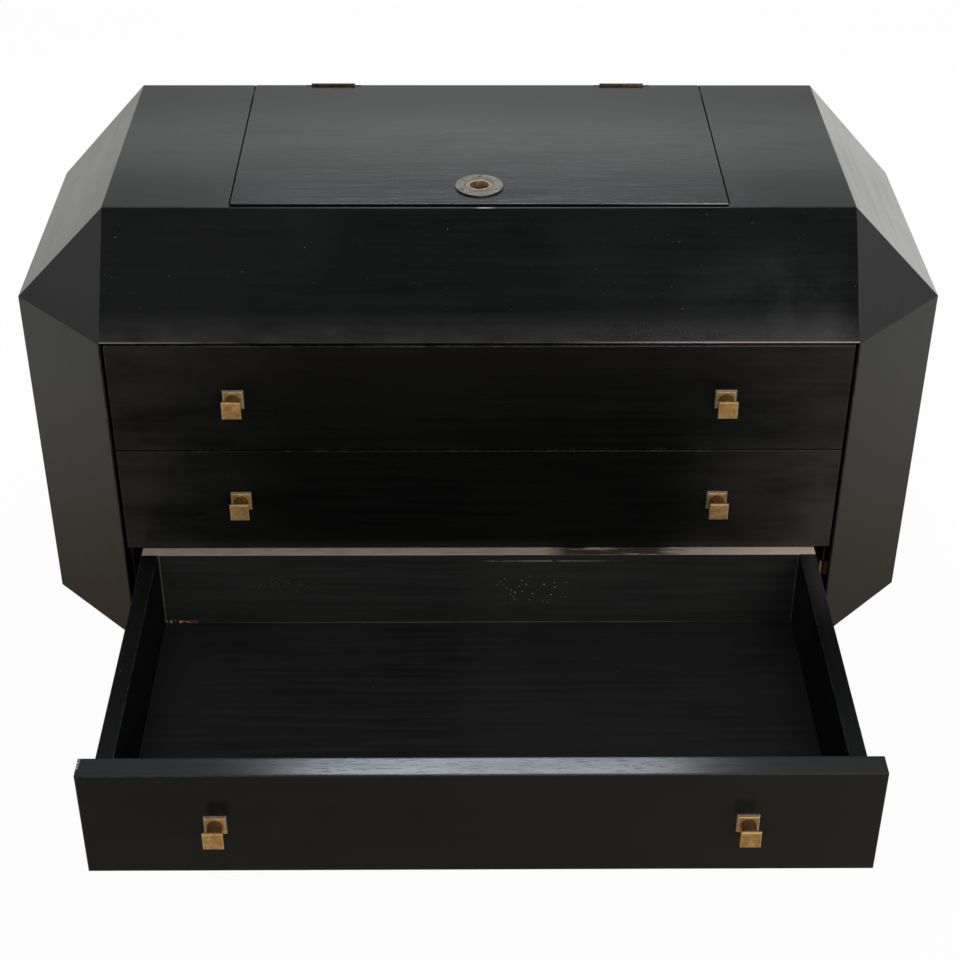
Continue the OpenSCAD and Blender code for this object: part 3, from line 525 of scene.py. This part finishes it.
def nodeMesh(node):
    # the CAD node as one closed mesh of flat faces
    bm = bmesh.new()
    bm.from_mesh(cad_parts[node].data)
    bmesh.ops.remove_doubles(bm, verts=bm.verts, dist=near["weld"])
    bmesh.ops.dissolve_limit(bm, angle_limit=math.radians(near["flat"]), verts=bm.verts, edges=bm.edges)
    return bm


def cut(bm, point, normal, clear=False):
    everything = bm.verts[:] + bm.edges[:] + bm.faces[:]
    bmesh.ops.bisect_plane(bm, geom=everything, dist=near["cut"], plane_co=point, plane_no=normal,
                           clear_outer=clear)
    if clear:
        bmesh.ops.holes_fill(bm, edges=[e for e in bm.edges if e.is_boundary], sides=0)


def cutAcross(bm, axis, level, clear=False):
    # a cut square to the axis, 0 for x; clearing takes what lies further out
    normal = Vector((0, 0, 0))
    normal[axis] = math.copysign(1, level)
    cut(bm, normal * abs(level), normal, clear)


def ease(bm, edges, offset, segments=2):
    bmesh.ops.bevel(bm, geom=edges, offset=offset, segments=segments, profile=0.5, affect="EDGES",
                    material=-1, clamp_overlap=True)


def linesOf(edges):
    return [(e.verts[0].co.copy(), e.verts[1].co.copy()) for e in edges]


def distanceToLine(point, line):
    a, b = line
    along = b - a
    share = max(0, min(1, (point - a).dot(along) / along.length_squared))
    return (point - a - along * share).length


def markWear(bm, lines, width=arris["wearWidth"], full=arris["shellRadius"] * 1.2):
    layer = bm.verts.layers.float.new("wear")
    for vert in bm.verts:
        distance = min((distanceToLine(vert.co, line) for line in lines), default=1)
        vert[layer] = max(0, min(1, (width - distance) / (width - full)))


# a piece is named after its node, unless that would be the node's own name
otherNames = {"deck": "deckBoard", "runners": "drawerRunners", "glides": "baseGlides"}


def pieceName(node):
    first, *others = node.split("_")
    return otherNames.get(node, first + "".join(other.capitalize() for other in others))


def finishPiece(bm, node, material, body, added=None):
    # the piece stands for the node, or is added beside it under a name of its own
    name = added or pieceName(node)
    mesh = bpy.data.meshes.new(name)
    bm.to_mesh(mesh)
    bm.free()
    mesh.materials.append(material)
    mesh.shade_smooth()
    mesh.set_sharp_from_angle(angle=math.radians(arris["smoothAngle"]))
    piece = bpy.data.objects.new(name, mesh)
    scene.collection.objects.link(piece)
    weighted = piece.modifiers.new("weighted normals", "WEIGHTED_NORMAL")
    weighted.keep_sharp = True
    weighted.weight = 90
    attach(piece, body)
    if not added:
        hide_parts(node)
    return piece


# where the sides of the lid's gaps and hinge slots turn black with painted shade
sill = {"rim": 0.0005, "beforeHinge": 0.0015, "lidRim": 0.0004, "lidDepth": 0.009}


def paintShade(piece, low, high):
    # faces inside the box between the two corners get the dull black of painted shade
    piece.data.materials.append(gapShade)
    for face in piece.data.polygons:
        if all(low[i] < face.center[i] < high[i] for i in range(3)):
            face.material_index = len(piece.data.materials) - 1


# the faceted shell: each arris is rounded on both of its boards by the same planes

def outerFace(bm):
    middle = Vector((0, 0, 0.4))  # any point well inside the case
    outward = [f for f in bm.faces if f.normal.dot(f.calc_center_median() - middle) > 0]
    return max(outward, key=lambda f: f.calc_area())


def ringOf(face):
    return [(loop.vert.co.copy(), loop.link_loop_next.vert.co.copy()) for loop in face.loops]


def sameEdge(one, other):
    return (one[0] - other[1]).length < near["point"] and (one[1] - other[0]).length < near["point"]


def sortArrises(node, bm, face, rings):
    # lines that planes can round, each with the normal beyond it, and edges that are left to a bevel
    rounded, beveled = [], []
    for loop, line in zip(face.loops, rings[node][0]):
        shared = [normal for other, (lines, normal) in rings.items()
                  if other != node and any(sameEdge(line, one) for one in lines)]
        own = [f.normal.copy() for f in loop.edge.link_faces if f != face]
        beyond = (shared or own)[0]
        if all(beyond.dot(v.co - line[0]) < near["plane"] for v in bm.verts):
            rounded.append((line, beyond))
        else:
            beveled.append(loop.edge)
    return rounded, beveled


def roundArris(bm, line, normal, beyond):
    radius = arris["shellRadius"]
    axis = line[0] - (normal + beyond) * radius / (1 + normal.dot(beyond))
    for step in range(1, arris["shellSteps"]):
        between = normal.slerp(beyond, step / arris["shellSteps"])
        cut(bm, axis + between * radius, between, True)


def makeShell(boards):
    meshes = {node: nodeMesh(node) for node in boards}
    faces = {node: outerFace(bm) for node, bm in meshes.items()}
    rings = {node: (ringOf(face), face.normal.copy()) for node, face in faces.items()}
    for node, material in boards.items():
        bm = meshes[node]
        normal = rings[node][1]
        rounded, beveled = sortArrises(node, bm, faces[node], rings)
        if beveled:
            ease(bm, beveled, arris["shellRadius"] * arris["innerShare"])
        if node == "top_panel":
            for side in (-1, 1):
                cutAcross(bm, 0, side * lidHigh.x)
        for line, beyond in rounded:
            inward = normal.cross(line[1] - line[0]).normalized()
            cut(bm, line[0] + inward * arris["wearWidth"], inward)
        for line, beyond in rounded:
            roundArris(bm, line, normal, beyond)
        bmesh.ops.remove_doubles(bm, verts=bm.verts, dist=near["shellWeld"])
        markWear(bm, [line for line, beyond in rounded])
        piece = finishPiece(bm, node, material, "carcass")
        # painted shade on the strip and the opening's wall in front of the lid
        if node == "top_panel":
            paintShade(piece, (-lidHigh.x, caseLow.y + sill["rim"], 0), (lidHigh.x, lidLow.y, 1))


makeShell({
    "top_panel": topLacquer, "front_slope": slopeLacquer,
    "shoulder_left": shoulderLacquer, "shoulder_right": shoulderLacquer,
    "corner_facet_left": facetLacquer, "corner_facet_right": facetLacquer,
    "corner_panel_left": panelLacquer, "corner_panel_right": panelLacquer,
    "side_left": sideLacquer, "side_right": sideLacquer,
})
print("shell made")


# plain boards: the long outer arrises are eased

def onBox(point, low, high):
    # how many of the box's sides the point lies on
    return sum(min(abs(point[i] - low[i]), abs(point[i] - high[i])) < near["point"] for i in range(3))


def makeBoard(node, material, body, extraCuts=()):
    bm = nodeMesh(node)
    low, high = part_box(node)
    picked = [e for e in bm.edges if len(e.link_faces) == 2 and e.is_convex
              and e.calc_length() > arris["boardLength"] and e.calc_face_angle() > arris["boardAngle"]
              and all(onBox(v.co, low, high) >= 2 for v in e.verts)]
    lines = linesOf(picked)
    ease(bm, picked, arris["boardRadius"], 3)
    for axis, level in extraCuts:
        cutAcross(bm, axis, level)
    done = set()
    for line in lines:
        for axis in range(3):
            if abs(line[0][axis] - line[1][axis]) > near["straight"]:
                continue
            side = 1 if line[0][axis] > (low[axis] + high[axis]) / 2 else -1
            level = line[0][axis] - side * arris["wearWidth"]
            if (axis, round(level, 5)) not in done:
                done.add((axis, round(level, 5)))
                cutAcross(bm, axis, level)
    markWear(bm, lines)
    return finishPiece(bm, node, material, body)


carcassBoards = {
    "back_panel": baseLacquer, "bottom_board": insideStain, "deck": insideStain,
    "liner_left": linerStain, "liner_right": linerStain,
    "well_wall_left": sideStain, "well_wall_right": sideStain, "well_wall_front": insideStain,
    "plinth_front": baseLacquer, "plinth_back": baseLacquer, "plinth_rails": baseLacquer,
}
for node, material in carcassBoards.items():
    makeBoard(node, material, "carcass")

# cuts round the hinges and the finger pull keep the lid's shading even
lidMargin = 0.004
lidCuts = [(1, hingeLow.y - lidMargin), (1, flangeLow.y - lidMargin), (1, flangeHigh.y + lidMargin),
           (0, flangeLow.x - lidMargin), (0, flangeHigh.x + lidMargin)]
lid = makeBoard("lid_board", topLacquer, "lid", lidCuts)
# painted shade on the lid's faces round its back and its hinge slots
paintShade(lid, (-1, hingeLow.y - sill["beforeHinge"], lidHigh.z - sill["lidDepth"]),
       (1, 1, lidHigh.z - sill["lidRim"]))

drawerFronts = {"top": frontLacquer, "middle": frontLacquer, "bottom": drawnLacquer}
for level, frontFinish in drawerFronts.items():
    finishes = {"front": frontFinish, "left": sideStain, "right": sideStain, "back": backWood,
                "floor": insideStain}
    for part, finish in finishes.items():
        makeBoard(level + "_drawer_" + part, finish, "drawer_" + level)
print("boards made")


# small parts copied from their nodes, with eased rims

def makeSmall(node, material, body, radius):
    bm = nodeMesh(node)
    rims = [e for e in bm.edges
            if len(e.link_faces) == 2 and e.is_convex and e.calc_face_angle() > arris["rimAngle"]]
    lines = linesOf(e for e in rims if e.calc_length() > arris["rimLength"])
    ease(bm, rims, radius)
    markWear(bm, lines, radius * 4, radius)
    return finishPiece(bm, node, material, body)


smallParts = {
    "runners": (rawWood, "carcass", 0.0008), "glue_blocks": (rawWood, "carcass", 0.0008),
    "drawer_stops": (felt, "carcass", 0.0006), "glides": (screwSteel, "carcass", 0.0003),
    "lid_mirror": (mirrorGlass, "lid", 0.0012), "hinge_case_leaves": (hingeBronze, "carcass", 0.0002),
    "hinge_lid_leaves": (hingeBronze, "lid", 0.0002), "hinge_pins": (hingeBronze, "carcass", 0.0005),
    "pull_flange": (agedBronze, "lid", 0.00015),
}
for node, (material, body, radius) in smallParts.items():
    makeSmall(node, material, body, radius)


# black blocks of painted shade that close the lid's side gaps and its hinge slots at the back

gapBlocks = {
    "opening": 0.32235,  # half the width of the top panel's opening
    "play": 0.0005, "inset": 0.0006, "depth": 0.003,
}
slotEars = {
    "hinge": 0.063,  # length of a hinge
    "length": 0.008, "depth": 0.0035, "height": 0.0021, "behind": 0.0002, "below": 0.0001,
}
blockEase = 0.0001


def makeBlocks(added, node, corners):
    bm = bmesh.new()
    for low, high in corners:
        cube = bmesh.ops.create_cube(bm, size=1)["verts"]
        bmesh.ops.scale(bm, verts=cube, vec=high - low)
        bmesh.ops.translate(bm, verts=cube, vec=(low + high) / 2)
    ease(bm, bm.edges[:], blockEase)
    return finishPiece(bm, node, gapShade, "carcass", added)


def fillGapsWithShade():
    fillers, ears = [], []
    for side in (-1, 1):
        start, end = sorted((side * (lidHigh.x + gapBlocks["play"]), side * gapBlocks["opening"]))
        back = caseHigh.y - gapBlocks["inset"]
        fillers.append((Vector((start, back - gapBlocks["depth"], caseLow.z + gapBlocks["play"])),
                        Vector((end, back, caseHigh.z - gapBlocks["inset"]))))
        for level, outward in ((hingeHigh.x, 1), (hingeHigh.x - slotEars["hinge"], -1)):
            start, end = sorted((side * level, side * (level + outward * slotEars["length"])))
            back, top = caseHigh.y - slotEars["behind"], caseHigh.z - slotEars["below"]
            ears.append((Vector((start, back - slotEars["depth"], top - slotEars["height"])),
                         Vector((end, back, top))))
    makeBlocks("lidGapShade", "top_panel", fillers)
    makeBlocks("hingeSlotShade", "hinge_case_leaves", ears)


fillGapsWithShade()


# turned and slotted parts, made upright at the origin and then put in place

def turnedShape(profile, steps, closed=False):
    bm = bmesh.new()
    points = [bm.verts.new((radius, 0, height)) for radius, height in profile]
    edges = [bm.edges.new(pair) for pair in zip(points, points[1:])]
    if closed:
        edges.append(bm.edges.new((points[-1], points[0])))
    bmesh.ops.spin(bm, geom=points + edges, cent=(0, 0, 0), axis=(0, 0, 1), angle=math.tau, steps=steps,
                   use_merge=True)
    bmesh.ops.remove_doubles(bm, verts=bm.verts, dist=near["turnedWeld"])
    bmesh.ops.recalc_face_normals(bm, faces=bm.faces)
    return bm


def arc(centre, radius, start, end, count):
    turns = [math.radians(start + (end - start) * i / count) for i in range(count + 1)]
    return [(centre[0] + radius * math.cos(t), centre[1] + radius * math.sin(t)) for t in turns]


def sinkSlot(bm, width, reach, depth):
    # a screwdriver slot in the top, along x
    top = max(v.co.z for v in bm.verts)
    for side in (-1, 1):
        cutAcross(bm, 1, side * width / 2)
    floor = [f for f in bm.faces if f.normal.z > screw["upward"] and f.calc_center_median().z > top - depth
             and abs(f.calc_center_median().y) < width / 2 and f.calc_center_median().xy.length < reach]
    sunk = bmesh.ops.extrude_face_region(bm, geom=floor)["geom"]
    bmesh.ops.delete(bm, geom=floor, context="FACES")
    points = [g for g in sunk if isinstance(g, bmesh.types.BMVert)]
    bmesh.ops.translate(bm, verts=points, vec=(0, 0, -depth))


def join(bm, other, matrix=Matrix()):
    # moves the other shape into the mesh, put in place by the matrix
    mesh = bpy.data.meshes.new("joined")
    other.to_mesh(mesh)
    other.free()
    mesh.transform(matrix)
    bm.from_mesh(mesh)
    bpy.data.meshes.remove(mesh)


screw = {
    "headRadius": 0.0025, "shankRadius": 0.0014, "rim": 0.0004, "slotWidth": 0.0007, "slotDepth": 0.0005,
    "turn": 0.15, "turnStep": 1.1,  # radians, so that the slots of neighbours stand at odds
    "panRadius": 0.004, "panHeight": 0.0026, "panSlot": 0.001, "panTurn": 0.4,
    # a pan head's outline, in shares of its radius and height
    "dome": [(0, 1), (0.35, 1), (0.6, 0.93), (0.84, 0.7), (0.97, 0.36), (1, 0)],
    "upward": 0.3,  # how far a face points up that a slot is sunk into
    "steps": 24,
}


def flatScrew(length):
    head, shank, rim = screw["headRadius"], screw["shankRadius"], screw["rim"]
    bm = turnedShape([(0, 0), (head * 0.45, 0), (head - rim, 0), (head - rim * 0.25, -rim * 0.1),
                      (head, -rim * 0.375), (shank, shank - head), (shank, shank - length),
                      (rim / 2, -length), (0, -length)], screw["steps"])
    sinkSlot(bm, screw["slotWidth"], head - rim, screw["slotDepth"])
    return bm


def panScrew(reach):
    # domed head at z = 0 with its shank pointing down
    radius, height = screw["panRadius"], screw["panHeight"]
    profile = [(radius * out, height * up) for out, up in screw["dome"]]
    profile += [(radius / 2, 0), (radius / 2, -reach), (0, -reach)]
    bm = turnedShape(profile, screw["steps"])
    sinkSlot(bm, screw["panSlot"], radius * 0.8, height * 0.5)
    return bm


def islands(bm):
    # the separate solids in a mesh, as lists of vertices
    left = set(bm.verts)
    while left:
        group = [left.pop()]
        for vert in group:
            for edge in vert.link_edges:
                other = edge.other_vert(vert)
                if other in left:
                    left.remove(other)
                    group.append(other)
        yield group


def screwPlaces(node, facing):
    # the middles of the heads of the node's own screws, which point towards "facing"
    bm = nodeMesh(node)
    places = []
    for group in islands(bm):
        low = Vector([min(v.co[i] for v in group) for i in range(3)])
        high = Vector([max(v.co[i] for v in group) for i in range(3)])
        centre = (low + high) / 2
        places.append(centre + facing * (max(v.co.dot(facing) for v in group) - centre.dot(facing)))
    bm.free()
    return sorted(places, key=lambda p: (round(p.x, 4), round(p.y, 4)))


def makeScrews(node, body, facing):
    low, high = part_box(node)
    upright = facing.to_track_quat("Z", "Y").to_matrix().to_4x4()
    bm = bmesh.new()
    for index, place in enumerate(screwPlaces(node, facing)):
        turn = Matrix.Rotation(screw["turn"] + screw["turnStep"] * (index % 3), 4, "Z")
        join(bm, flatScrew((high - low).dot(facing)), Matrix.Translation(place) @ upright @ turn)
    markWear(bm, [])
    return finishPiece(bm, node, screwBronze, body)


makeScrews("hinge_case_screws", "carcass", Vector((0, 1, 0)))
makeScrews("hinge_lid_screws", "lid", Vector((0, 1, 0)))
makeScrews("pull_screws", "lid", Vector((0, 0, 1)))


# the pull's bush: collar, rolled lip and the lining of the finger hole

pull = {
    "bore": 0.0126, "wall": 0.0024, "lip": 0.0009, "lipGap": 0.0002, "rim": 0.0002, "seam": 0.0005,
    "rubbed": 0.00005,  # the lip is rubbed from this height above the flange
    "steps": 64,
}


def makeBush():
    low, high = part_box("pull_bush")
    lidTop, flangeTop = flangeLow.z, flangeHigh.z
    centre = Vector(((low.x + high.x) / 2, (low.y + high.y) / 2, 0))
    collar = (high.x - low.x) / 2
    bore, lip, rim, seam = pull["bore"], pull["lip"], pull["rim"], pull["seam"]
    outer = bore + pull["wall"]
    profile = [(bore + rim, low.z), (outer - rim, low.z), (outer, low.z + rim), (outer, lidTop),
               (collar, lidTop), (collar, flangeTop - rim), (collar - rim, flangeTop),
               (collar - seam, flangeTop), (collar - seam * 1.8, flangeTop),
               (bore + 2 * lip + pull["lipGap"], flangeTop)]
    profile += arc((bore + lip, flangeTop - lip * 0.5), lip, 30, 180, 10)
    profile += [(bore, flangeTop - lip * 1.2), (bore, flangeTop - lip * 2), (bore, low.z + rim)]
    bm = turnedShape(profile, pull["steps"], True)
    wear = bm.verts.layers.float.new("wear")
    grime = bm.verts.layers.float.new("grime")
    for vert in bm.verts:
        vert[wear] = vert.co.z > flangeTop + pull["rubbed"]
        vert[grime] = vert.co.z > flangeTop - lip and vert.co.xy.length > collar - seam * 1.1
    bmesh.ops.translate(bm, verts=bm.verts, vec=centre)
    piece = finishPiece(bm, "pull_bush", pullBrass, "lid")
    piece.data.materials.append(agedBronze)  # the collar matches the flange
    for face in piece.data.polygons:
        if (face.center - centre).xy.length > bore + lip and face.center.z > lidTop:
            face.material_index = 1


makeBush()


# square knobs, each on a foot and a back plate

knob = {
    "chamfer": 0.0012, "ease": 0.00025, "sharpAngle": 0.3,
    "footWidth": 0.0255, "foot": 0.0026, "headWidth": 0.025, "headEdge": 0.0022,
    "stemRadius": 0.0088, "flareDepth": 0.012, "flareSteps": 12, "steps": 48,
    "beadReach": 0.0004, "beadHeight": 0.0003, "beadTop": 0.0008,  # the stem's bead on the foot
    "tuck": 0.0002,  # how deep the stem goes into foot and head
    "wearWidth": 0.0015, "wearFull": 0.0009,
    # the bead and the neck are painted dark as shade under the head, the foot's base as a dark joint line
    "footGrime": 0.9, "beadShade": 0.94, "neckShade": 0.72,
}


def slab(width, height, chamfer):
    bm = bmesh.new()
    bmesh.ops.create_cube(bm, size=1)
    bmesh.ops.scale(bm, verts=bm.verts, vec=(width, width, height))
    bmesh.ops.translate(bm, verts=bm.verts, vec=(0, 0, height / 2))
    front = [e for e in bm.edges if all(v.co.z > height / 2 for v in e.verts)]
    corners = linesOf(front)
    if chamfer:
        ease(bm, front, chamfer, 1)
    ease(bm, [e for e in bm.edges if e.calc_face_angle() > knob["sharpAngle"]], knob["ease"])
    for axis in (0, 1):
        for side in (-1, 1):
            cutAcross(bm, axis, side * (width / 2 - knob["wearWidth"]))
    markWear(bm, corners, knob["wearWidth"], knob["wearFull"])
    return bm


def knobNeck(headZ):
    # a round stem that flares out to the square head's corners
    foot, stemRadius, tuck = knob["foot"], knob["stemRadius"], knob["tuck"]
    bead = stemRadius + knob["beadReach"]
    corner = knob["headWidth"] / math.sqrt(2)
    flare = corner - stemRadius
    profile = [(0, foot - tuck), (bead, foot - tuck), (bead, foot + knob["beadHeight"]),
               (stemRadius, foot + knob["beadTop"])]
    profile += [(radius, headZ - knob["flareDepth"] * (1 - height / flare))
                for radius, height in arc((corner, 0), flare, 180, 90, knob["flareSteps"])]
    profile += [(corner, headZ + tuck), (0, headZ + tuck)]
    bm = turnedShape(profile, knob["steps"])
    for axis in (0, 1):
        for side in (1, -1):
            cutAcross(bm, axis, side * (knob["headWidth"] / 2 - knob["ease"] * 0.6), True)
    markWear(bm, [])
    grime = bm.verts.layers.float.new("grime")
    for vert in bm.verts:
        vert[grime] = knob["beadShade"] if vert.co.z < foot + knob["beadTop"] / 2 else knob["neckShade"]
    return bm


def knobShape(length):
    headZ = length - knob["headEdge"] - knob["chamfer"]
    bm = bmesh.new()
    foot = slab(knob["footWidth"], knob["foot"], knob["chamfer"])
    grime = foot.verts.layers.float.new("grime")
    for vert in foot.verts:
        vert[grime] = knob["footGrime"] if vert.co.z < knob["ease"] * 1.5 else 0
    head = slab(knob["headWidth"], knob["headEdge"] + knob["chamfer"], knob["chamfer"])
    join(bm, knobNeck(headZ))
    join(bm, foot)
    join(bm, head, Matrix.Translation((0, 0, headZ)))
    return bm


def makeFittings(level):
    # a drawer's two knobs with their back plates and screws
    (plateLow, plateHigh), (knobLow, knobHigh), (screwLow, screwHigh) = [
        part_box(level + "_drawer_" + part) for part in ("plates", "knobs", "screws")]
    plateWidth = plateHigh.z - plateLow.z
    knobX = plateHigh.x - plateWidth / 2
    knobZ = (plateHigh.z + plateLow.z) / 2
    outward, inward = [Matrix.Rotation(math.radians(turn), 4, "X") for turn in (90, -90)]
    knobs, plates, screws = bmesh.new(), bmesh.new(), bmesh.new()
    for side in (-1, 1):
        join(knobs, knobShape(knobHigh.y - knobLow.y),
             Matrix.Translation((side * knobX, knobHigh.y, knobZ)) @ outward)
        join(plates, slab(plateWidth, plateHigh.y - plateLow.y, 0),
             Matrix.Translation((side * knobX, plateHigh.y, knobZ)) @ outward)
        join(screws, panScrew(screwHigh.y - screwLow.y - screw["panHeight"]),
             Matrix.Translation((side * knobX, screwHigh.y - screw["panHeight"], knobZ)) @ inward
             @ Matrix.Rotation(screw["panTurn"] + side, 4, "Z"))
    markWear(screws, [])
    for bm, part, material in ((knobs, "knobs", knobBrass), (plates, "plates", plateBronze),
                               (screws, "screws", screwSteel)):
        finishPiece(bm, level + "_drawer_" + part, material, "drawer_" + level)


for level in drawerFronts:
    makeFittings(level)
print("fittings made")


# floor, world and lamps

stage = {
    "size": 40,
    "white": 0.965,  # share of plain white that the camera sees in the floor
    "matt": (0.82, 0.82, 0.82),
    # how bright the floor is in reflections, and where it changes
    "front": 0.29, "beside": 0.44, "frontBand": (-0.9, -0.2),
    "behind": 1.0, "behindBand": (0.1, 1.1),
    "leftShare": 0.6, "sideBand": (-0.9, 0.9),  # the left side's share of the right side's brightness
    "baseShares": (0.55, 1.08), "baseBand": (0.68, 1.3),  # dimmer close to the base
    # the floor's tone in reflections, close to the base and further off
    "nearTone": (1, 0.86, 0.66), "farTone": (1, 0.995, 0.98),
    "farBand": (0.75, 1.2), "farBehind": (-0.1, 0.3),
}


def byRay(tree, plain, seen, mirrored):
    # what lights the object, what the camera sees and what is seen in reflections
    path = addNode(tree, "LightPath").outputs
    glossy = calc(tree, "MAXIMUM", path["Is Glossy Ray"], path["Is Transmission Ray"])
    unseen = addNode(tree, "MixShader", {0: glossy, 1: plain.outputs[0], 2: mirrored.outputs[0]})
    mixed = addNode(tree, "MixShader", {0: path["Is Camera Ray"], 1: unseen.outputs[0], 2: seen.outputs[0]})
    return mixed.outputs[0]


def makeFloor():
    bm = bmesh.new()
    bmesh.ops.create_grid(bm, x_segments=4, y_segments=4, size=stage["size"] / 2)
    mesh = bpy.data.meshes.new("floor")
    bm.to_mesh(mesh)
    bm.free()
    floor = bpy.data.objects.new("floor", mesh)
    scene.collection.objects.link(floor)
    material = bpy.data.materials.new("floor")
    tree = emptyTree(material)
    place = addNode(tree, "SeparateXYZ", {0: addNode(tree, "TexCoord").outputs["Object"]})
    aside = calc(tree, "ABSOLUTE", place.outputs[0])
    level = spread(tree, place.outputs[1], *stage["frontBand"], stage["front"], stage["beside"])
    level = calc(tree, "MULTIPLY", level, spread(tree, aside, *stage["baseBand"], *stage["baseShares"]))
    tilt = spread(tree, place.outputs[0], *stage["sideBand"], stage["leftShare"], 1)
    level = addNode(tree, "Mix", {0: spread(tree, place.outputs[1], *stage["behindBand"]), 2: level,
                                  3: calc(tree, "MULTIPLY", tilt, stage["behind"])}).outputs[0]
    far = calc(tree, "MAXIMUM", spread(tree, aside, *stage["farBand"]),
               spread(tree, place.outputs[1], *stage["farBehind"]))
    tone = blendColor(tree, far, stage["nearTone"], stage["farTone"])
    matt = addNode(tree, "BsdfDiffuse", {"Color": stage["matt"]})
    white = addNode(tree, "Emission", {"Color": (1, 1, 1), "Strength": 1})
    seen = addNode(tree, "MixShader", {0: stage["white"], 1: matt.outputs[0], 2: white.outputs[0]})
    mirrored = addNode(tree, "Emission", {"Color": tone, "Strength": level})
    addNode(tree, "OutputMaterial", {"Surface": byRay(tree, matt, seen, mirrored)})
    mesh.materials.append(material)


sky = {
    # brightness in reflections, from behind the camera to behind the dresser
    "levels": [(0.0, 0.08), (0.25, 0.1), (0.5, 0.4), (0.8, 0.74), (1.0, 0.78)],
    "sides": (0.75, 1.1),  # left and right
    "asideBand": (-0.04, 0.26), "asideShares": (1, 0.72),  # dimmer away from the middle
    "highBand": (0.395, 0.46), "highShares": (1.05, 0.5),  # and dimmer high up
    "soft": 0.55,  # the even light on the object
}


def makeWorld():
    world = bpy.data.worlds.new("studio")
    scene.world = world
    tree = emptyTree(world)
    direction = addNode(tree, "TexCoord").outputs["Generated"]
    across, deep, high = addNode(tree, "SeparateXYZ", {0: direction}).outputs
    ramp = addNode(tree, "ValToRGB", {"Fac": spread(tree, deep, -1, 1)})
    stops = ramp.color_ramp.elements
    for position, bright in sky["levels"][1:-1]:
        stops.new(position)
    for stop, (position, bright) in zip(stops, sky["levels"]):
        stop.position = position
        stop.color = (bright, bright, bright, 1)
    tilt = spread(tree, across, -1, 1, *sky["sides"])
    aside = calc(tree, "ABSOLUTE", across)
    for value, band, shares in ((aside, "asideBand", "asideShares"), (high, "highBand", "highShares")):
        tilt = calc(tree, "MULTIPLY", tilt, spread(tree, value, *sky[band], *sky[shares], "SMOOTHSTEP"))
    level = addNode(tree, "VectorMath", {0: ramp.outputs[0], 1: tilt}, operation="MULTIPLY")
    soft = addNode(tree, "Background", {"Color": (1, 1, 1), "Strength": sky["soft"]})
    white = addNode(tree, "Background", {"Color": (1, 1, 1), "Strength": 1})
    mirrored = addNode(tree, "Background", {"Color": level.outputs[0], "Strength": 1})
    addNode(tree, "OutputWorld", {"Surface": byRay(tree, soft, white, mirrored)})


lamps = {
    "overhead": {"place": (0, -0.1, 3.3), "aim": (0, 0, 0.5), "size": (3.4, 2.2), "watts": 16,
                 "color": (1, 0.99, 0.97)},
    "behind": {"place": (0.05, 1.75, 2.5), "aim": (0, -0.6, 0.3), "size": (1.1, 0.6), "watts": 24,
               "color": (0.84, 0.93, 1)},
    "front": {"place": (0.9, -3.4, 1.35), "aim": (0, -0.3, 0.35), "size": (2.2, 1.2), "watts": 30,
              "color": (1, 0.98, 0.95)},
}


def makeLamp(name, lamp):
    data = bpy.data.lights.new(name, "AREA")
    data.shape = "RECTANGLE"
    data.size, data.size_y = lamp["size"]
    data.energy = lamp["watts"]
    data.color = lamp["color"]
    made = bpy.data.objects.new(name, data)
    scene.collection.objects.link(made)
    aim = Vector(lamp["aim"]) - Vector(lamp["place"])
    turn = aim.to_track_quat("-Z", "Y").to_matrix().to_4x4()
    made.matrix_world = Matrix.Translation(lamp["place"]) @ turn


makeFloor()
makeWorld()
for name, lamp in lamps.items():
    makeLamp(name, lamp)
print("stage lit")
